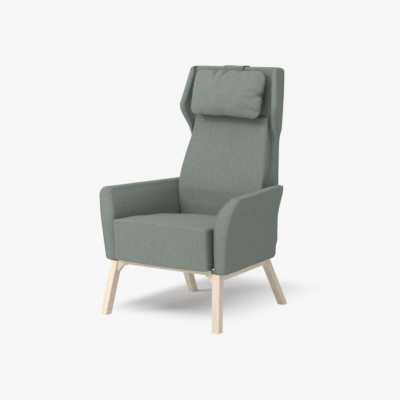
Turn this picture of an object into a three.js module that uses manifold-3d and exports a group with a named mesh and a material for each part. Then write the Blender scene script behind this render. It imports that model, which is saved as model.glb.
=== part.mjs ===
// High back lounge chair with side wings, upholstered arms and a head pillow on a counterweighted strap.
// Millimetres. +X is the sitter's left, +Y points to the back, +Z is up, and the floor is z = 0.

import * as THREE from "three";
import { mergeVertices } from "three/addons/utils/BufferGeometryUtils.js";
import Module from "manifold-3d";

const wasm = await Module();
wasm.setup();

// Shared fits
const fitGap = 0.3;
const coverThickness = 2;
const foamGap = coverThickness + fitGap;
const cutOverrun = 30;

// Plan of the base: the sides toe in towards the back
const toeAngle = THREE.MathUtils.degToRad(5.3);
const sideFrameX = 308;
const frontFrameY = -298;
const railTopZ = 258;
const railBottomZ = 226;
const railThickness = 26;

// Legs
const frontLegWidth = 37;
const frontLegDepth = 39;
const frontLegSplayOut = 26;
const frontLegSplayForward = 52;
const rearLegWidth = 34;
const rearLegDepth = 40;
const rearLegTopY = 484;
const rearLegSplayOut = 35;
const rearLegRake = 141;
const footWidthLoss = 3;
const legBottomZ = 2;
const sideRailStart = 25;
const sideRailShortfall = 4;
const sideRailEnd = rearLegTopY - sideRailShortfall;

// Front and rear rails with the front gussets
const frontRailSetback = 1.5;
const frontRailBottomZ = 249;
const seatRailTopZ = 272;
const crossRailReach = 286;
const frontShoulderReach = 261;
const gussetInnerX = 232;
const rearRailSetback = 2;
const rearRailFrontY = frontFrameY + rearLegTopY - rearRailSetback;
const rearRailReach = 240;
const rearShoulderReach = 212;

// Corner blocks, bolts and glides
const blockLeg = 64;
const blockCornerInset = 8;
const blockHeight = 12;
const blockBottomZ = 245;
const boltRadius = 3;
const boltHeadRadius = 5.5;
const boltHeadHeight = 5;
const legBoltGrip = 22;
const armBoltY = 240;
const armBoltSink = 8;
const armBoltDepth = 40;
const backBoltX = 168;
const backBoltDepth = 12;
const glideRadius = 12;
const glideHeight = 5;

// Seat
const seatHalfWidth = 262;
const seatFrontY = -344;
const seatFrontLean = 14;
const seatRearY = 149;
const seatTopZ = 470;
const seatRearDrop = 33;
const seatEdgeRound = 10;
const seatSideRound = 9;
const seatCrown = 6;
const seatLipWidth = 14;
const seatFrameFrontY = -318;
const seatFrameRearY = 210;
const seatFrameThickness = 22;
const seatFrameTopZ = 312;
const dustCoverThickness = 1;
const webbingWidth = 60;
const webbingThickness = 2;
const webbingPitch = 115;

// Arms
const armFootX = 341;
const armTopX = 396.5;
const armFrontY = -311.5;
const armFrontSweep = 63.5;
const armRearY = 266;
const armRearSweep = 71.5;
const armRearInnerY = 207;
const armRearDepth = 44;
const armRearStep = 1;
const armTopZ = 600;
const armThickness = 83;
const armOuterRound = 3;
const armInnerRound = 6;
const armCoreThickness = 18;
const armCoreDepth = 37;
const armCoreEdge = 34;
const armSlotSlack = 10;

// Back shell
const shellBottomZ = 285;
const shellTopZ = 1160;
const shellHalfWidth = 250;
const shellFootHalfWidth = 238;
const shellFrontY = 212;
const shellFrontLean = 78;
const shellRearY = 307;
const shellRearLean = 39;
const shellEdgeRound = 10;
const wingDrop = 350;
const wingTipDrop = 189;
const wingBottomZ = shellTopZ - wingDrop;
const wingTipZ = shellTopZ - wingTipDrop;
const wingSpread = 36.5;
const wingBulge = 10;
const wingTipY = 226;
const wingTopY = 276;
const wingThickness = 30;
const uprightX = 176;
const uprightWidth = 40;
const uprightThickness = 18;
const uprightSetback = 6;
const uprightTopGap = 24;
const backRailHeight = 45;
const backRailTopGap = 26;
const backRailFootGap = 8;
const wingCoreThickness = 9;
const wingCoreEdge = 14;
const wingFoamStart = 3;

// Back pad
const padBottomZ = 315;
const padTopDrop = 236;
const padTopZ = shellTopZ - padTopDrop;
const padHalfWidth = 244;
const padEdgeRound = 22;
const padCrown = 5;
const padSidePull = 4;
const padShellOverlap = 3;
const padTopDepth = 257;
const padLumbarY = 147.5;
const padOpeningEnd = 44;
const padOpeningMargin = 11;

// Head pillow
const pillowHalfWidth = 200;
const pillowHalfHeight = 112;
const pillowHalfDepth = 46;
const pillowY = 230;
const pillowDrop = 126;
const pillowZ = shellTopZ - pillowDrop;
const pillowTilt = THREE.MathUtils.degToRad(13.4);
const pillowEdgePull = 4;
const pillowSlotHalf = 134;
const pillowSlotHeight = 30;
const pillowSlotDepth = 6;

// Strap and counterweight
const strapHalfWidth = 57;
const strapThickness = 4;
const strapDrop = 18;
const strapSewnRow = 8;
const pouchHalfWidth = 57;
const pouchDrop = 265;
const pouchBottomZ = shellTopZ - pouchDrop;
const pouchHeight = 95;
const pouchThickness = 20;
const weightBarHalfWidth = 47;
const weightBarHeight = 62;
const weightBarThickness = 8;

// Sides of round pieces
const roundSides = 16;
const hexSides = 6;

// Finishes
const birch = { color: 0xe7d6bd, roughness: 0.55, metalness: 0 };
const plywood = { color: 0xcdb48e, roughness: 0.7, metalness: 0 };
const wool = { color: 0x78827a, roughness: 0.95, metalness: 0 };
const foam = { color: 0xd9d2b8, roughness: 0.9, metalness: 0 };
const webbingFinish = { color: 0x2f2f2f, roughness: 0.8, metalness: 0 };
const dustCloth = { color: 0x26282a, roughness: 0.95, metalness: 0 };
const steel = { color: 0x9a9c9e, roughness: 0.35, metalness: 1 };
const nylon = { color: 0x3a3a3a, roughness: 0.6, metalness: 0 };

const toeTan = Math.tan(toeAngle);

// Manifold solids from three.js geometry and back
function solidFrom(geometry) {
  const plain = geometry.index ? geometry.toNonIndexed() : geometry.clone();
  plain.deleteAttribute("normal");
  plain.deleteAttribute("uv");
  const merged = mergeVertices(plain);
  const mesh = new wasm.Mesh({
    numProp: 3,
    vertProperties: merged.attributes.position.array,
    triVerts: new Uint32Array(merged.index.array),
  });
  return new wasm.Manifold(mesh);
}

function geometryFrom(solid) {
  const mesh = solid.getMesh();
  const geometry = new THREE.BufferGeometry();
  geometry.setAttribute("position", new THREE.BufferAttribute(new Float32Array(mesh.vertProperties), 3));
  geometry.setIndex(new THREE.BufferAttribute(new Uint32Array(mesh.triVerts), 1));
  return geometry;
}

function cut(body, ...tools) {
  return tools.reduce((left, tool) => left.subtract(tool), body);
}

// Skins closed rings of equal, even point count: side quads, and end caps as strips between paired points.
function loft(rings) {
  const count = rings[0].length;
  const half = count / 2;
  const positions = rings.flat(2);
  const index = [];
  const quad = (a, b, c, d) => index.push(a, b, c, a, c, d);
  for (let r = 0; r + 1 < rings.length; r++) {
    for (let i = 0; i < count; i++) {
      const next = (i + 1) % count;
      const low = r * count;
      const high = low + count;
      quad(low + i, low + next, high + next, high + i);
    }
  }
  const last = (rings.length - 1) * count;
  for (let i = 0; i + 1 < half; i++) {
    const far = count - 1 - i;
    quad(i, far, far - 1, i + 1);
    quad(last + i, last + i + 1, last + far - 1, last + far);
  }
  return solidFrom(outwardGeometry(positions, index));
}

// A closed mesh with its faces turned outwards, whichever way the rings ran.
function outwardGeometry(positions, index) {
  const corner = (k) => new THREE.Vector3().fromArray(positions, index[k] * 3);
  let volume = 0;
  for (let k = 0; k < index.length; k += 3) {
    volume += corner(k).dot(corner(k + 1).cross(corner(k + 2)));
  }
  if (volume < 0) index.reverse();
  const geometry = new THREE.BufferGeometry();
  geometry.setAttribute("position", new THREE.Float32BufferAttribute(positions, 3));
  geometry.setIndex(index);
  return geometry;
}

function outlineShape(points) {
  return new THREE.Shape(points.map(([a, b]) => new THREE.Vector2(a, b)));
}

// A prism standing on a plan outline.
function planPrism(points, bottomZ, topZ) {
  const settings = { depth: topZ - bottomZ, bevelEnabled: false };
  const geometry = new THREE.ExtrudeGeometry(outlineShape(points), settings);
  return solidFrom(geometry.translate(0, 0, bottomZ));
}

// A prism whose front elevation outline (x, z) runs from frontY to rearY.
function elevationPrism(points, frontY, rearY) {
  const settings = { depth: rearY - frontY, bevelEnabled: false };
  const geometry = new THREE.ExtrudeGeometry(outlineShape(points), settings);
  return solidFrom(geometry.rotateX(Math.PI / 2).translate(0, rearY, 0));
}

function boxBetween(low, high) {
  const size = high.map((value, axis) => value - low[axis]);
  const middle = high.map((value, axis) => (value + low[axis]) / 2);
  return solidFrom(new THREE.BoxGeometry(...size).translate(...middle));
}

// A round or hexagonal bar from one point to another.
function barBetween(from, to, radius, sides) {
  const start = new THREE.Vector3(...from);
  const end = new THREE.Vector3(...to);
  const along = end.clone().sub(start);
  const geometry = new THREE.CylinderGeometry(radius, radius, along.length(), sides);
  const upright = new THREE.Vector3(0, 1, 0);
  const turn = new THREE.Quaternion().setFromUnitVectors(upright, along.clone().normalize());
  const middle = start.add(end).multiplyScalar(1 / 2);
  return solidFrom(geometry.applyQuaternion(turn).translate(...middle.toArray()));
}

// A bolt: its head stands behind the seat point, and its shank runs along the axis.
function boltBody(seat, axis, length) {
  const step = (distance) => seat.map((value, k) => value + axis[k] * distance);
  const head = barBetween(step(-boltHeadHeight - fitGap), step(-fitGap), boltHeadRadius, hexSides);
  const shank = barBetween(step(-boltHeadHeight), step(length), boltRadius, roundSides);
  return head.add(shank);
}

// The hole that takes a bolt, with a round pocket from outside down to the seat point.
function boltHole(seat, axis, length) {
  const step = (distance) => seat.map((value, k) => value + axis[k] * distance);
  const pocket = barBetween(step(-cutOverrun), step(0), boltHeadRadius + fitGap, roundSides);
  const shank = barBetween(step(-boltHeadHeight), step(length + fitGap), boltRadius + fitGap, roundSides);
  return pocket.add(shank);
}

const mix = (from, to, share) => from + (to - from) * share;

// A parabola that is one in the middle of a stretch and zero at both ends.
const arch = (share) => 1 - (2 * share - 1) ** 2;

// Straight-line reading of a table of [position, value] rows.
function along(table, position) {
  const last = table.length - 1;
  const k = table.findIndex(([at]) => at >= position);
  if (k === 0) return table[0][1];
  if (k < 0) return table[last][1];
  const [lowAt, low] = table[k - 1];
  const [highAt, high] = table[k];
  return mix(low, high, (position - lowAt) / (highAt - lowAt));
}

// Side frames: places are given from the outer front corner of a side, turned in by the toe angle
function sidePoint(side, outward, back) {
  const x = sideFrameX + outward * Math.cos(toeAngle) - back * Math.sin(toeAngle);
  const y = frontFrameY + outward * Math.sin(toeAngle) + back * Math.cos(toeAngle);
  return [side * x, y];
}

function legRing(side, centre, width, depth, z, grow) {
  const halfWidth = width / 2 + grow;
  const halfDepth = depth / 2 + grow;
  const corners = [[-1, -1], [1, -1], [1, 1], [-1, 1]];
  const place = ([a, b]) => [...sidePoint(side, centre[0] + a * halfWidth, centre[1] + b * halfDepth), z];
  return corners.map(place);
}

const legs = {
  front: {
    width: frontLegWidth,
    depth: frontLegDepth,
    top: [-frontLegWidth / 2, frontLegDepth / 2],
    shift: [frontLegSplayOut, -frontLegSplayForward],
  },
  rear: {
    width: rearLegWidth,
    depth: rearLegDepth,
    top: [-rearLegWidth / 2, rearLegTopY],
    shift: [rearLegSplayOut, rearLegRake],
  },
};

// The middle of a leg's section at a height, from the side's corner.
function legCentre(leg, z) {
  const share = (railTopZ - z) / railTopZ;
  return leg.top.map((value, k) => value + leg.shift[k] * share);
}

function legBody(side, leg, grow) {
  const bottomZ = legBottomZ - grow;
  const topZ = railTopZ + grow;
  const foot = legRing(side, legCentre(leg, bottomZ), leg.width - footWidthLoss, leg.depth, bottomZ, grow);
  const top = legRing(side, legCentre(leg, topZ), leg.width, leg.depth, topZ, grow);
  return loft([foot, top]);
}

function sideRailBody(side, grow) {
  const start = sideRailStart - grow;
  const end = sideRailEnd + grow;
  const inner = -railThickness - grow;
  const corners = [[grow, start], [grow, end], [inner, end], [inner, start]];
  const outline = corners.map(([outward, back]) => sidePoint(side, outward, back));
  return planPrism(outline, railBottomZ - grow, railTopZ + grow);
}

const frontRailY = frontFrameY + frontRailSetback;

function frontRailBody(grow) {
  const low = frontRailBottomZ - grow;
  const high = seatRailTopZ + grow;
  const shoulder = railTopZ - fitGap;
  const gussetDrop = crossRailReach - gussetInnerX;
  const gussetInner = gussetInnerX - grow;
  const outline = [
    [-frontShoulderReach, high],
    [-frontShoulderReach, shoulder],
    [-crossRailReach, shoulder],
    [-crossRailReach, low - gussetDrop],
    [-gussetInner, low],
    [gussetInner, low],
    [crossRailReach, low - gussetDrop],
    [crossRailReach, shoulder],
    [frontShoulderReach, shoulder],
    [frontShoulderReach, high],
  ];
  return elevationPrism(outline, frontRailY - grow, frontRailY + railThickness + grow);
}

function rearRailBody(grow) {
  const low = railBottomZ - grow;
  const high = seatRailTopZ + grow;
  const shoulder = railTopZ - fitGap;
  const outline = [
    [-rearShoulderReach, high],
    [-rearShoulderReach, shoulder],
    [-rearRailReach, shoulder],
    [-rearRailReach, low],
    [rearRailReach, low],
    [rearRailReach, shoulder],
    [rearShoulderReach, shoulder],
    [rearShoulderReach, high],
  ];
  return elevationPrism(outline, rearRailFrontY - grow, rearRailFrontY + railThickness + grow);
}

// Corner blocks sit in the angle of a side rail and a cross rail; facing is 1 at the front, -1 at the rear
const innerRailFace = -railThickness;
const blockBolts = {
  front: { facing: 1, railY: frontRailY, corner: [innerRailFace, frontRailSetback + railThickness] },
  rear: { facing: -1, railY: rearRailFrontY, corner: [innerRailFace, rearRailFrontY - frontFrameY] },
};

// The whole height beside a cross rail, which a corner block keeps out of.
function crossRailSlot(railY) {
  const low = [-crossRailReach, railY - fitGap, railBottomZ - cutOverrun];
  const high = [crossRailReach, railY + railThickness + fitGap, railTopZ + cutOverrun];
  return boxBetween(low, high);
}

function blockBody(side, place) {
  const [cornerX, cornerY] = place.corner;
  const outerX = cornerX + blockCornerInset;
  const outerY = cornerY - place.facing * blockCornerInset;
  const reach = blockLeg + blockCornerInset;
  const corners = [
    [outerX, outerY],
    [outerX - reach, outerY],
    [outerX, outerY + place.facing * reach],
  ];
  const outline = corners.map(([outward, back]) => sidePoint(side, outward, back));
  return planPrism(outline, blockBottomZ, blockBottomZ + blockHeight);
}

function legBolt(side, place, shape) {
  const [cornerX, cornerY] = place.corner;
  const reach = (blockLeg - blockCornerInset) / 2;
  const seatPlan = sidePoint(side, cornerX - reach, cornerY + place.facing * reach);
  const cornerPlan = sidePoint(side, cornerX, cornerY);
  const direction = new THREE.Vector2(cornerPlan[0] - seatPlan[0], cornerPlan[1] - seatPlan[1]);
  const length = direction.length() + legBoltGrip;
  direction.normalize();
  const z = blockBottomZ + blockHeight / 2;
  return shape([...seatPlan, z], [direction.x, direction.y, 0], length);
}

function glideBody(side, leg, grow) {
  const [x, y] = sidePoint(side, ...legCentre(leg, 0));
  return barBetween([x, y, 0], [x, y, glideHeight + grow], glideRadius + grow, roundSides);
}

// Arms: the outer face leans out, most of all in front, and each height has its own edges and thickness.
// Columns: share of the height, the front sweep, the rear sweep, the outward lean, the thickness in front
// and the thickness behind.
const armLevelShares = [
  [0, 0.4, 1, 0, 0.77, 0.77],
  [0.011, 0.27, 0.84, 0.004, 0.775, 0.775],
  [0.034, 0.195, 0.72, 0.013, 0.785, 0.785],
  [0.093, 0.165, 0.706, 0.03, 0.79, 0.785],
  [0.18, 0.113, 0.643, 0.078, 0.8, 0.79],
  [0.3, 0.07, 0.632, 0.144, 0.84, 0.8],
  [0.415, 0.027, 0.625, 0.196, 0.86, 0.8],
  [0.532, 0, 0.59, 0.272, 0.9, 0.8],
  [0.62, 0.014, 0.523, 0.357, 0.965, 0.78],
  [0.68, 0.05, 0.455, 0.439, 1, 0.78],
  [0.737, 0.095, 0.352, 0.517, 0.99, 0.775],
  [0.795, 0.16, 0.224, 0.609, 0.95, 0.76],
  [0.854, 0.275, 0.126, 0.756, 0.91, 0.76],
  [0.883, 0.33, 0.07, 0.828, 0.875, 0.75],
  [0.912, 0.4, 0.035, 0.893, 0.815, 0.74],
  [0.941, 0.502, 0, 0.943, 0.74, 0.69],
  [0.971, 0.683, 0, 0.98, 0.68, 0.65],
  [0.99, 0.86, 0.035, 0.995, 0.655, 0.63],
  [1, 1, 0.14, 1, 0.65, 0.62],
];
const armRearLeanShare = 0.26;
const armBottomZ = railTopZ + fitGap;

function armRearwardShare(y) {
  return (y - frontFrameY) / (armRearY - frontFrameY);
}

function armOuterX(leanShare, y) {
  const held = mix(1, armRearLeanShare, armRearwardShare(y));
  return mix(armFootX, armTopX, leanShare * held) - toeTan * (y - frontFrameY);
}

// One closed outline of the arm seen from the side, at a given depth inside its outer face.
function armRing(side, depthAt, edge, bottom, rearReach) {
  const height = armTopZ - armBottomZ - edge - bottom;
  const point = ([share, , , lean, width, rearWidth], y) => {
    const z = armBottomZ + bottom + height * share;
    const depth = depthAt(mix(width, rearWidth, armRearwardShare(y)));
    return [side * (armOuterX(lean, y) - depth), y, z];
  };
  const rearAt = (row) => Math.min(armRearY - armRearSweep * row[2], rearReach) - edge;
  const fronts = armLevelShares.map((row) => point(row, armFrontY + armFrontSweep * row[1] + edge));
  const rears = armLevelShares.map((row) => point(row, rearAt(row)));
  return [...fronts, ...rears.reverse()];
}

// The arm's outer part runs on beside the shell, and its inner part ends in front of it.
function armBody(side, inset) {
  const outer = inset + armOuterRound;
  const stepDepth = armRearDepth - inset;
  const rings = [
    armRing(side, () => inset, outer, outer, armRearY),
    armRing(side, () => outer, inset, inset, armRearY),
    armRing(side, () => stepDepth, inset, inset, armRearY),
    armRing(side, () => stepDepth + armRearStep, inset, inset, armRearInnerY),
  ];
  const roundStepShares = [0, 1 / 2, 1];
  for (const share of roundStepShares) {
    const angle = (share * Math.PI) / 2;
    const edge = inset + armInnerRound * (1 - Math.cos(angle));
    const depth = (width) => armThickness * width - inset - armInnerRound * (1 - Math.sin(angle));
    rings.push(armRing(side, depth, edge, edge, armRearInnerY));
  }
  return loft(rings);
}

function armCoreBody(side, grow) {
  const edge = armCoreEdge - grow;
  const ring = (depth) => armRing(side, () => depth, edge, fitGap - grow, armRearInnerY);
  return loft([ring(armCoreDepth - grow), ring(armCoreDepth + armCoreThickness + grow)]);
}

// The open strip under an arm, through which its core is seen.
function armOpening(side) {
  const [, frontShare, rearShare, leanShare] = armLevelShares[0];
  const margin = armCoreEdge - armSlotSlack;
  const y = [armFrontY + armFrontSweep * frontShare + margin, armRearY - armRearSweep * rearShare - margin];
  const outer = armCoreDepth - coverThickness;
  const inner = armCoreDepth + armCoreThickness + coverThickness;
  const edge = (depth, at) => [side * (armOuterX(leanShare, at) - depth), at];
  const outline = [edge(outer, y[0]), edge(outer, y[1]), edge(inner, y[1]), edge(inner, y[0])];
  return planPrism(outline, armBottomZ - cutOverrun, armBottomZ + foamGap + armOuterRound);
}

function armBolt(side, shape) {
  const [x, y] = sidePoint(side, -railThickness / 2, armBoltY);
  const seatZ = railBottomZ + armBoltSink;
  return shape([x, y, seatZ], [0, 0, 1], railTopZ + armBoltDepth - seatZ);
}

// Seat: a wedge in plan between the toed-in arms.
// Columns: share of the seat's depth, bottom rise and top drop in edge rounds, share of the rear drop.
const seatStationShares = [
  [0, 0.7, 1.1, 0],
  [0.006, 0.25, 0.4, 0],
  [0.03, 0, 0.08, 0],
  [0.22, 0, 0, 0],
  [0.5, 0, 0, 0.12],
  [0.8, 0, 0, 0.55],
  [0.985, 0, 0, 0.92],
  [1, 0.2, 0.3, 1],
];

function seatHalfWidthAt(y) {
  return seatHalfWidth - toeTan * (y - frontFrameY);
}

const seatBottomZ = seatRailTopZ + fitGap;

function seatRing(acrossShare, inset, edge) {
  const trim = inset + edge;
  const front = seatFrontY + trim;
  const depth = seatRearY - trim - front;
  const crown = seatCrown * acrossShare * acrossShare;
  const point = (share, lean, z) => {
    const y = front + depth * share + lean;
    return [acrossShare * (seatHalfWidthAt(y) - inset), y, z];
  };
  const bottoms = seatStationShares.map(([share, rise]) =>
    point(share, seatFrontLean * (1 - share), seatBottomZ + trim + rise * seatEdgeRound));
  const tops = seatStationShares.map(([share, , drop, rear]) =>
    point(share, 0, seatTopZ - trim - crown - drop * seatEdgeRound - rear * seatRearDrop));
  return [...bottoms, ...tops.reverse()];
}

function seatBody(inset) {
  const roundShare = 1 - seatSideRound / seatHalfWidth;
  const acrossShares = [0, 0.45, 0.8];
  const inner = acrossShares.map((share) => seatRing(share, inset, 0));
  const right = [...inner, seatRing(roundShare, inset, 0), seatRing(1, inset, seatSideRound)];
  const mirrored = right.slice(1).reverse().map((ring) => ring.map(([x, y, z]) => [-x, y, z]));
  return loft([...mirrored, ...right]);
}

// The frame's outline in plan, grown by a given gap.
function framePlan(frontY, rearY, grow) {
  const halfAt = (y) => seatHalfWidthAt(y) - seatLipWidth + grow;
  const front = frontY - grow;
  const rear = rearY + grow;
  return [[-halfAt(front), front], [halfAt(front), front], [halfAt(rear), rear], [-halfAt(rear), rear]];
}

const frameBottomZ = seatBottomZ + dustCoverThickness + fitGap;
const webbingBottomZ = seatFrameTopZ + fitGap;
const webbingTopZ = webbingBottomZ + webbingThickness;

function seatRecess(grow) {
  const plan = framePlan(seatFrameFrontY, seatFrameRearY, grow);
  return planPrism(plan, seatBottomZ - cutOverrun, webbingTopZ + grow);
}

function seatFrameSide(side) {
  const front = seatFrameFrontY + seatFrameThickness + fitGap;
  const rear = seatFrameRearY - seatFrameThickness - fitGap;
  const outer = (y) => seatHalfWidthAt(y) - seatLipWidth;
  const inner = (y) => outer(y) - seatFrameThickness;
  const plan = [[inner(front), front], [outer(front), front], [outer(rear), rear], [inner(rear), rear]];
  return planPrism(plan.map(([x, y]) => [side * x, y]), frameBottomZ, seatFrameTopZ);
}

// Back shell: share of the shell's height against its front and rear lean, and its half width.
const shellHeight = shellTopZ - shellBottomZ;
const armBackShare = (armTopZ - shellBottomZ) / shellHeight;
const wingRootShare = (wingBottomZ - shellBottomZ) / shellHeight;
const shellFrontLeanShares = [
  [0, 0],
  [armBackShare, 0],
  [mix(armBackShare, wingRootShare, 1 / 5), 0.22],
  [mix(armBackShare, wingRootShare, 1 / 2), 0.5],
  [mix(armBackShare, wingRootShare, 4 / 5), 0.78],
  [wingRootShare, 0.93],
  [1, 1],
];
const shellRearLeanShares = [
  [0, 0],
  [armBackShare, 0.15],
  [mix(armBackShare, wingRootShare, 4 / 5), 0.17],
  [wingRootShare, 0.26],
  [0.977, 0.97],
  [1, 1],
];
const shellCornerShares = [
  [0, 0],
  [0.02, 0.55],
  [0.05, 1],
];
const wingBulgeShares = [
  [wingRootShare, 0],
  [mix(wingRootShare, 1, 1 / 5), 1],
  [mix(wingRootShare, 1, 4 / 5), 1],
  [0.977, 0.8],
  [1, 0],
];

function shellShare(z) {
  return (z - shellBottomZ) / shellHeight;
}

function shellFrontAt(z) {
  return shellFrontY + shellFrontLean * along(shellFrontLeanShares, shellShare(z));
}

function shellRearAt(z) {
  return shellRearY + shellRearLean * along(shellRearLeanShares, shellShare(z));
}

function shellHalfAt(z) {
  const bulge = wingBulge * along(wingBulgeShares, shellShare(z));
  return mix(shellFootHalfWidth, shellHalfWidth, along(shellCornerShares, shellShare(z))) + bulge;
}

// The wing's way forward from its root to its tip, steep at first and rounded at the tip.
const wingReachShares = [
  [0, 0],
  [0.28, 0.25],
  [0.46, 0.48],
  [0.65, 0.73],
  [0.83, 0.93],
  [1, 1],
];

// The wing's outer front corner at a height: forward and outward to its tip, then back to the shell.
function wingCornerAt(z) {
  if (z <= wingBottomZ) return [shellHalfAt(z), shellFrontAt(z)];
  const root = [shellHalfAt(wingBottomZ), shellFrontAt(wingBottomZ)];
  const tip = [shellHalfWidth + wingSpread, wingTipY];
  const top = [shellHalfWidth, wingTopY];
  const [from, to, share] = z < wingTipZ
    ? [root, tip, along(wingReachShares, (z - wingBottomZ) / (wingTipZ - wingBottomZ))]
    : [tip, top, (z - wingTipZ) / (shellTopZ - wingTipZ)];
  return [mix(from[0], to[0], share), mix(from[1], to[1], share)];
}

// Where the shell's outer side line crosses a given depth.
function shellSideX(z, y) {
  const [cornerX, cornerY] = wingCornerAt(z);
  const rear = shellRearAt(z);
  return mix(cornerX, shellHalfAt(z), (y - cornerY) / (rear - cornerY));
}

function shellRing(z, inset, edge) {
  const trim = inset + edge;
  const front = shellFrontAt(z) + trim;
  const rear = shellRearAt(z) - trim;
  const [, cornerY] = wingCornerAt(z);
  const tipY = Math.min(cornerY + trim, front);
  const side = (y) => shellSideX(z, y) - trim;
  const wall = wingThickness - trim - inset;
  const frontHalf = [
    [0, front],
    [side(front) - wall, front],
    [side(tipY) - wall, tipY],
    [side(tipY), tipY],
  ];
  const rearHalf = [
    [0, rear],
    [side(rear) - wall, rear],
    [side(rear) - shellEdgeRound, rear],
    [side(rear - shellEdgeRound), rear - shellEdgeRound],
  ];
  const at = ([x, y]) => [x, y, z];
  const mirrored = ([x, y]) => [-x, y, z];
  const fronts = [...frontHalf.slice(1).reverse().map(mirrored), ...frontHalf.map(at)];
  const rears = [...rearHalf.slice(1).reverse().map(mirrored), ...rearHalf.map(at)];
  return [...fronts, ...rears.reverse()];
}

// Heights of the rings from the shell's foot to its rounded top: the tables' bends, and steps up the wings.
const wingStepShares = [1 / 3, 2 / 3];
const roundStepShare = 0.3;
const tableLevels = [shellCornerShares, wingBulgeShares, shellFrontLeanShares, shellRearLeanShares]
  .flatMap((table) => table.map(([share]) => shellBottomZ + shellHeight * share));
const wingLevels = [
  ...wingReachShares.map(([share]) => mix(wingBottomZ, wingTipZ, share)),
  ...wingStepShares.map((share) => mix(wingTipZ, shellTopZ, share)),
];
const shellLevels = [...new Set([...tableLevels, ...wingLevels])]
  .filter((z) => z > shellBottomZ + shellEdgeRound && z < shellTopZ - shellEdgeRound - foamGap)
  .sort((low, high) => low - high);

function shellBody(inset) {
  const bottom = shellBottomZ + inset;
  const top = shellTopZ - inset;
  const rings = [
    shellRing(bottom, inset, 0),
    ...shellLevels.map((z) => shellRing(z, inset, 0)),
    shellRing(top - shellEdgeRound, inset, 0),
    shellRing(top - shellEdgeRound * roundStepShare, inset, shellEdgeRound * roundStepShare),
    shellRing(top, inset, shellEdgeRound),
  ];
  return loft(rings);
}

// Everything in front of a plane that follows the shell's front at a given depth.
function frontOfShell(depth) {
  const half = shellHalfWidth + wingSpread + cutOverrun;
  const ring = (z, at) => {
    const back = shellFrontAt(at) + depth;
    const front = wingTipY - cutOverrun;
    return [[-half, front, z], [half, front, z], [half, back, z], [-half, back, z]];
  };
  const low = wingBottomZ - wingFoamStart;
  const levels = [low, ...shellLevels.filter((z) => z > low)];
  return loft([...levels.map((z) => ring(z, z)), ring(shellTopZ + cutOverrun, shellTopZ)]);
}

// Posts stand a setback behind the shell's front.
function uprightRing(side, z, grow) {
  const front = shellFrontAt(z) + uprightSetback - grow;
  const rear = shellFrontAt(z) + uprightSetback + uprightThickness + grow;
  const inner = side * (uprightX - uprightWidth / 2 - grow);
  const outer = side * (uprightX + uprightWidth / 2 + grow);
  return [[inner, front, z], [outer, front, z], [outer, rear, z], [inner, rear, z]];
}

function uprightBody(side, grow) {
  const top = shellTopZ - uprightTopGap + grow;
  const bottom = shellBottomZ + fitGap - grow;
  const levels = [bottom, ...shellLevels.filter((z) => z > bottom && z < top), top];
  return loft(levels.map((z) => uprightRing(side, z, grow)));
}

function backRailBody(bottomZ, grow) {
  const half = uprightX - uprightWidth / 2 - fitGap + grow;
  const ring = (x) => {
    const low = bottomZ - grow;
    const high = bottomZ + backRailHeight + grow;
    const front = (z) => shellFrontAt(z) + uprightSetback - grow;
    const depth = uprightThickness + grow + grow;
    return [
      [x, front(low), low],
      [x, front(low) + depth, low],
      [x, front(high) + depth, high],
      [x, front(high), high],
    ];
  };
  return loft([ring(-half), ring(half)]);
}

const backRailTopZ = shellTopZ - backRailTopGap - backRailHeight;
const backRailFootZ = shellBottomZ + backRailFootGap;

// Plywood in each wing, from its post to near the wing's front edge.
const wingCoreStartShare = 0.4;

function wingCoreRing(side, z, grow) {
  const [, cornerY] = wingCornerAt(z);
  const rootX = uprightX + uprightWidth / 2 + fitGap - grow;
  const rootY = shellFrontAt(z) + uprightSetback;
  const tipY = cornerY + wingCoreEdge - grow;
  const middleX = (y) => shellSideX(z, y) - wingThickness / 2;
  const half = wingCoreThickness / 2 + grow;
  const backY = rootY + wingCoreThickness + grow;
  return [
    [side * rootX, rootY - grow, z],
    [side * (middleX(rootY) - half), rootY - grow, z],
    [side * (middleX(tipY) - half), tipY, z],
    [side * (middleX(tipY) + half), tipY, z],
    [side * (middleX(backY) + half), backY, z],
    [side * rootX, backY, z],
  ];
}

function wingCoreBody(side, grow) {
  const low = mix(wingBottomZ, wingTipZ, wingCoreStartShare) - grow;
  const high = shellTopZ - uprightTopGap + grow;
  const levels = [low, ...wingLevels.filter((z) => z > low && z <= wingTipZ), high];
  return loft(levels.map((z) => wingCoreRing(side, z, grow)));
}

// Back pad. Columns: share of the pad's height, its depth travel, its half width and its edge round.
const padLevelShares = [
  [0, 0.06, 0.875, 0.5],
  [0.16, 0.06, 0.91, 0.5],
  [0.21, 0.045, 0.93, 0.5],
  [0.29, 0, 0.96, 0.5],
  [0.4, 0, 0.99, 0.5],
  [0.475, 0.08, 1, 0.5],
  [0.55, 0.205, 1, 0.65],
  [0.67, 0.44, 0.9625, 1],
  [0.82, 0.735, 0.902, 1],
  [0.95, 0.96, 0.857, 1],
  [0.985, 1.01, 0.845, 1],
  [1, 1.05, 0.825, 1],
];
// Columns: share of the half width, and how far the front and the rear turn in, as shares of the edge round.
const padAcrossShares = [
  [0, 0, 0],
  [0.55, 0, 0],
  [0.88, 0.06, 0],
  [0.97, 0.4, 0],
  [1, 1, 0.15],
];

const padRoundLimitShare = 0.8;

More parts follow.
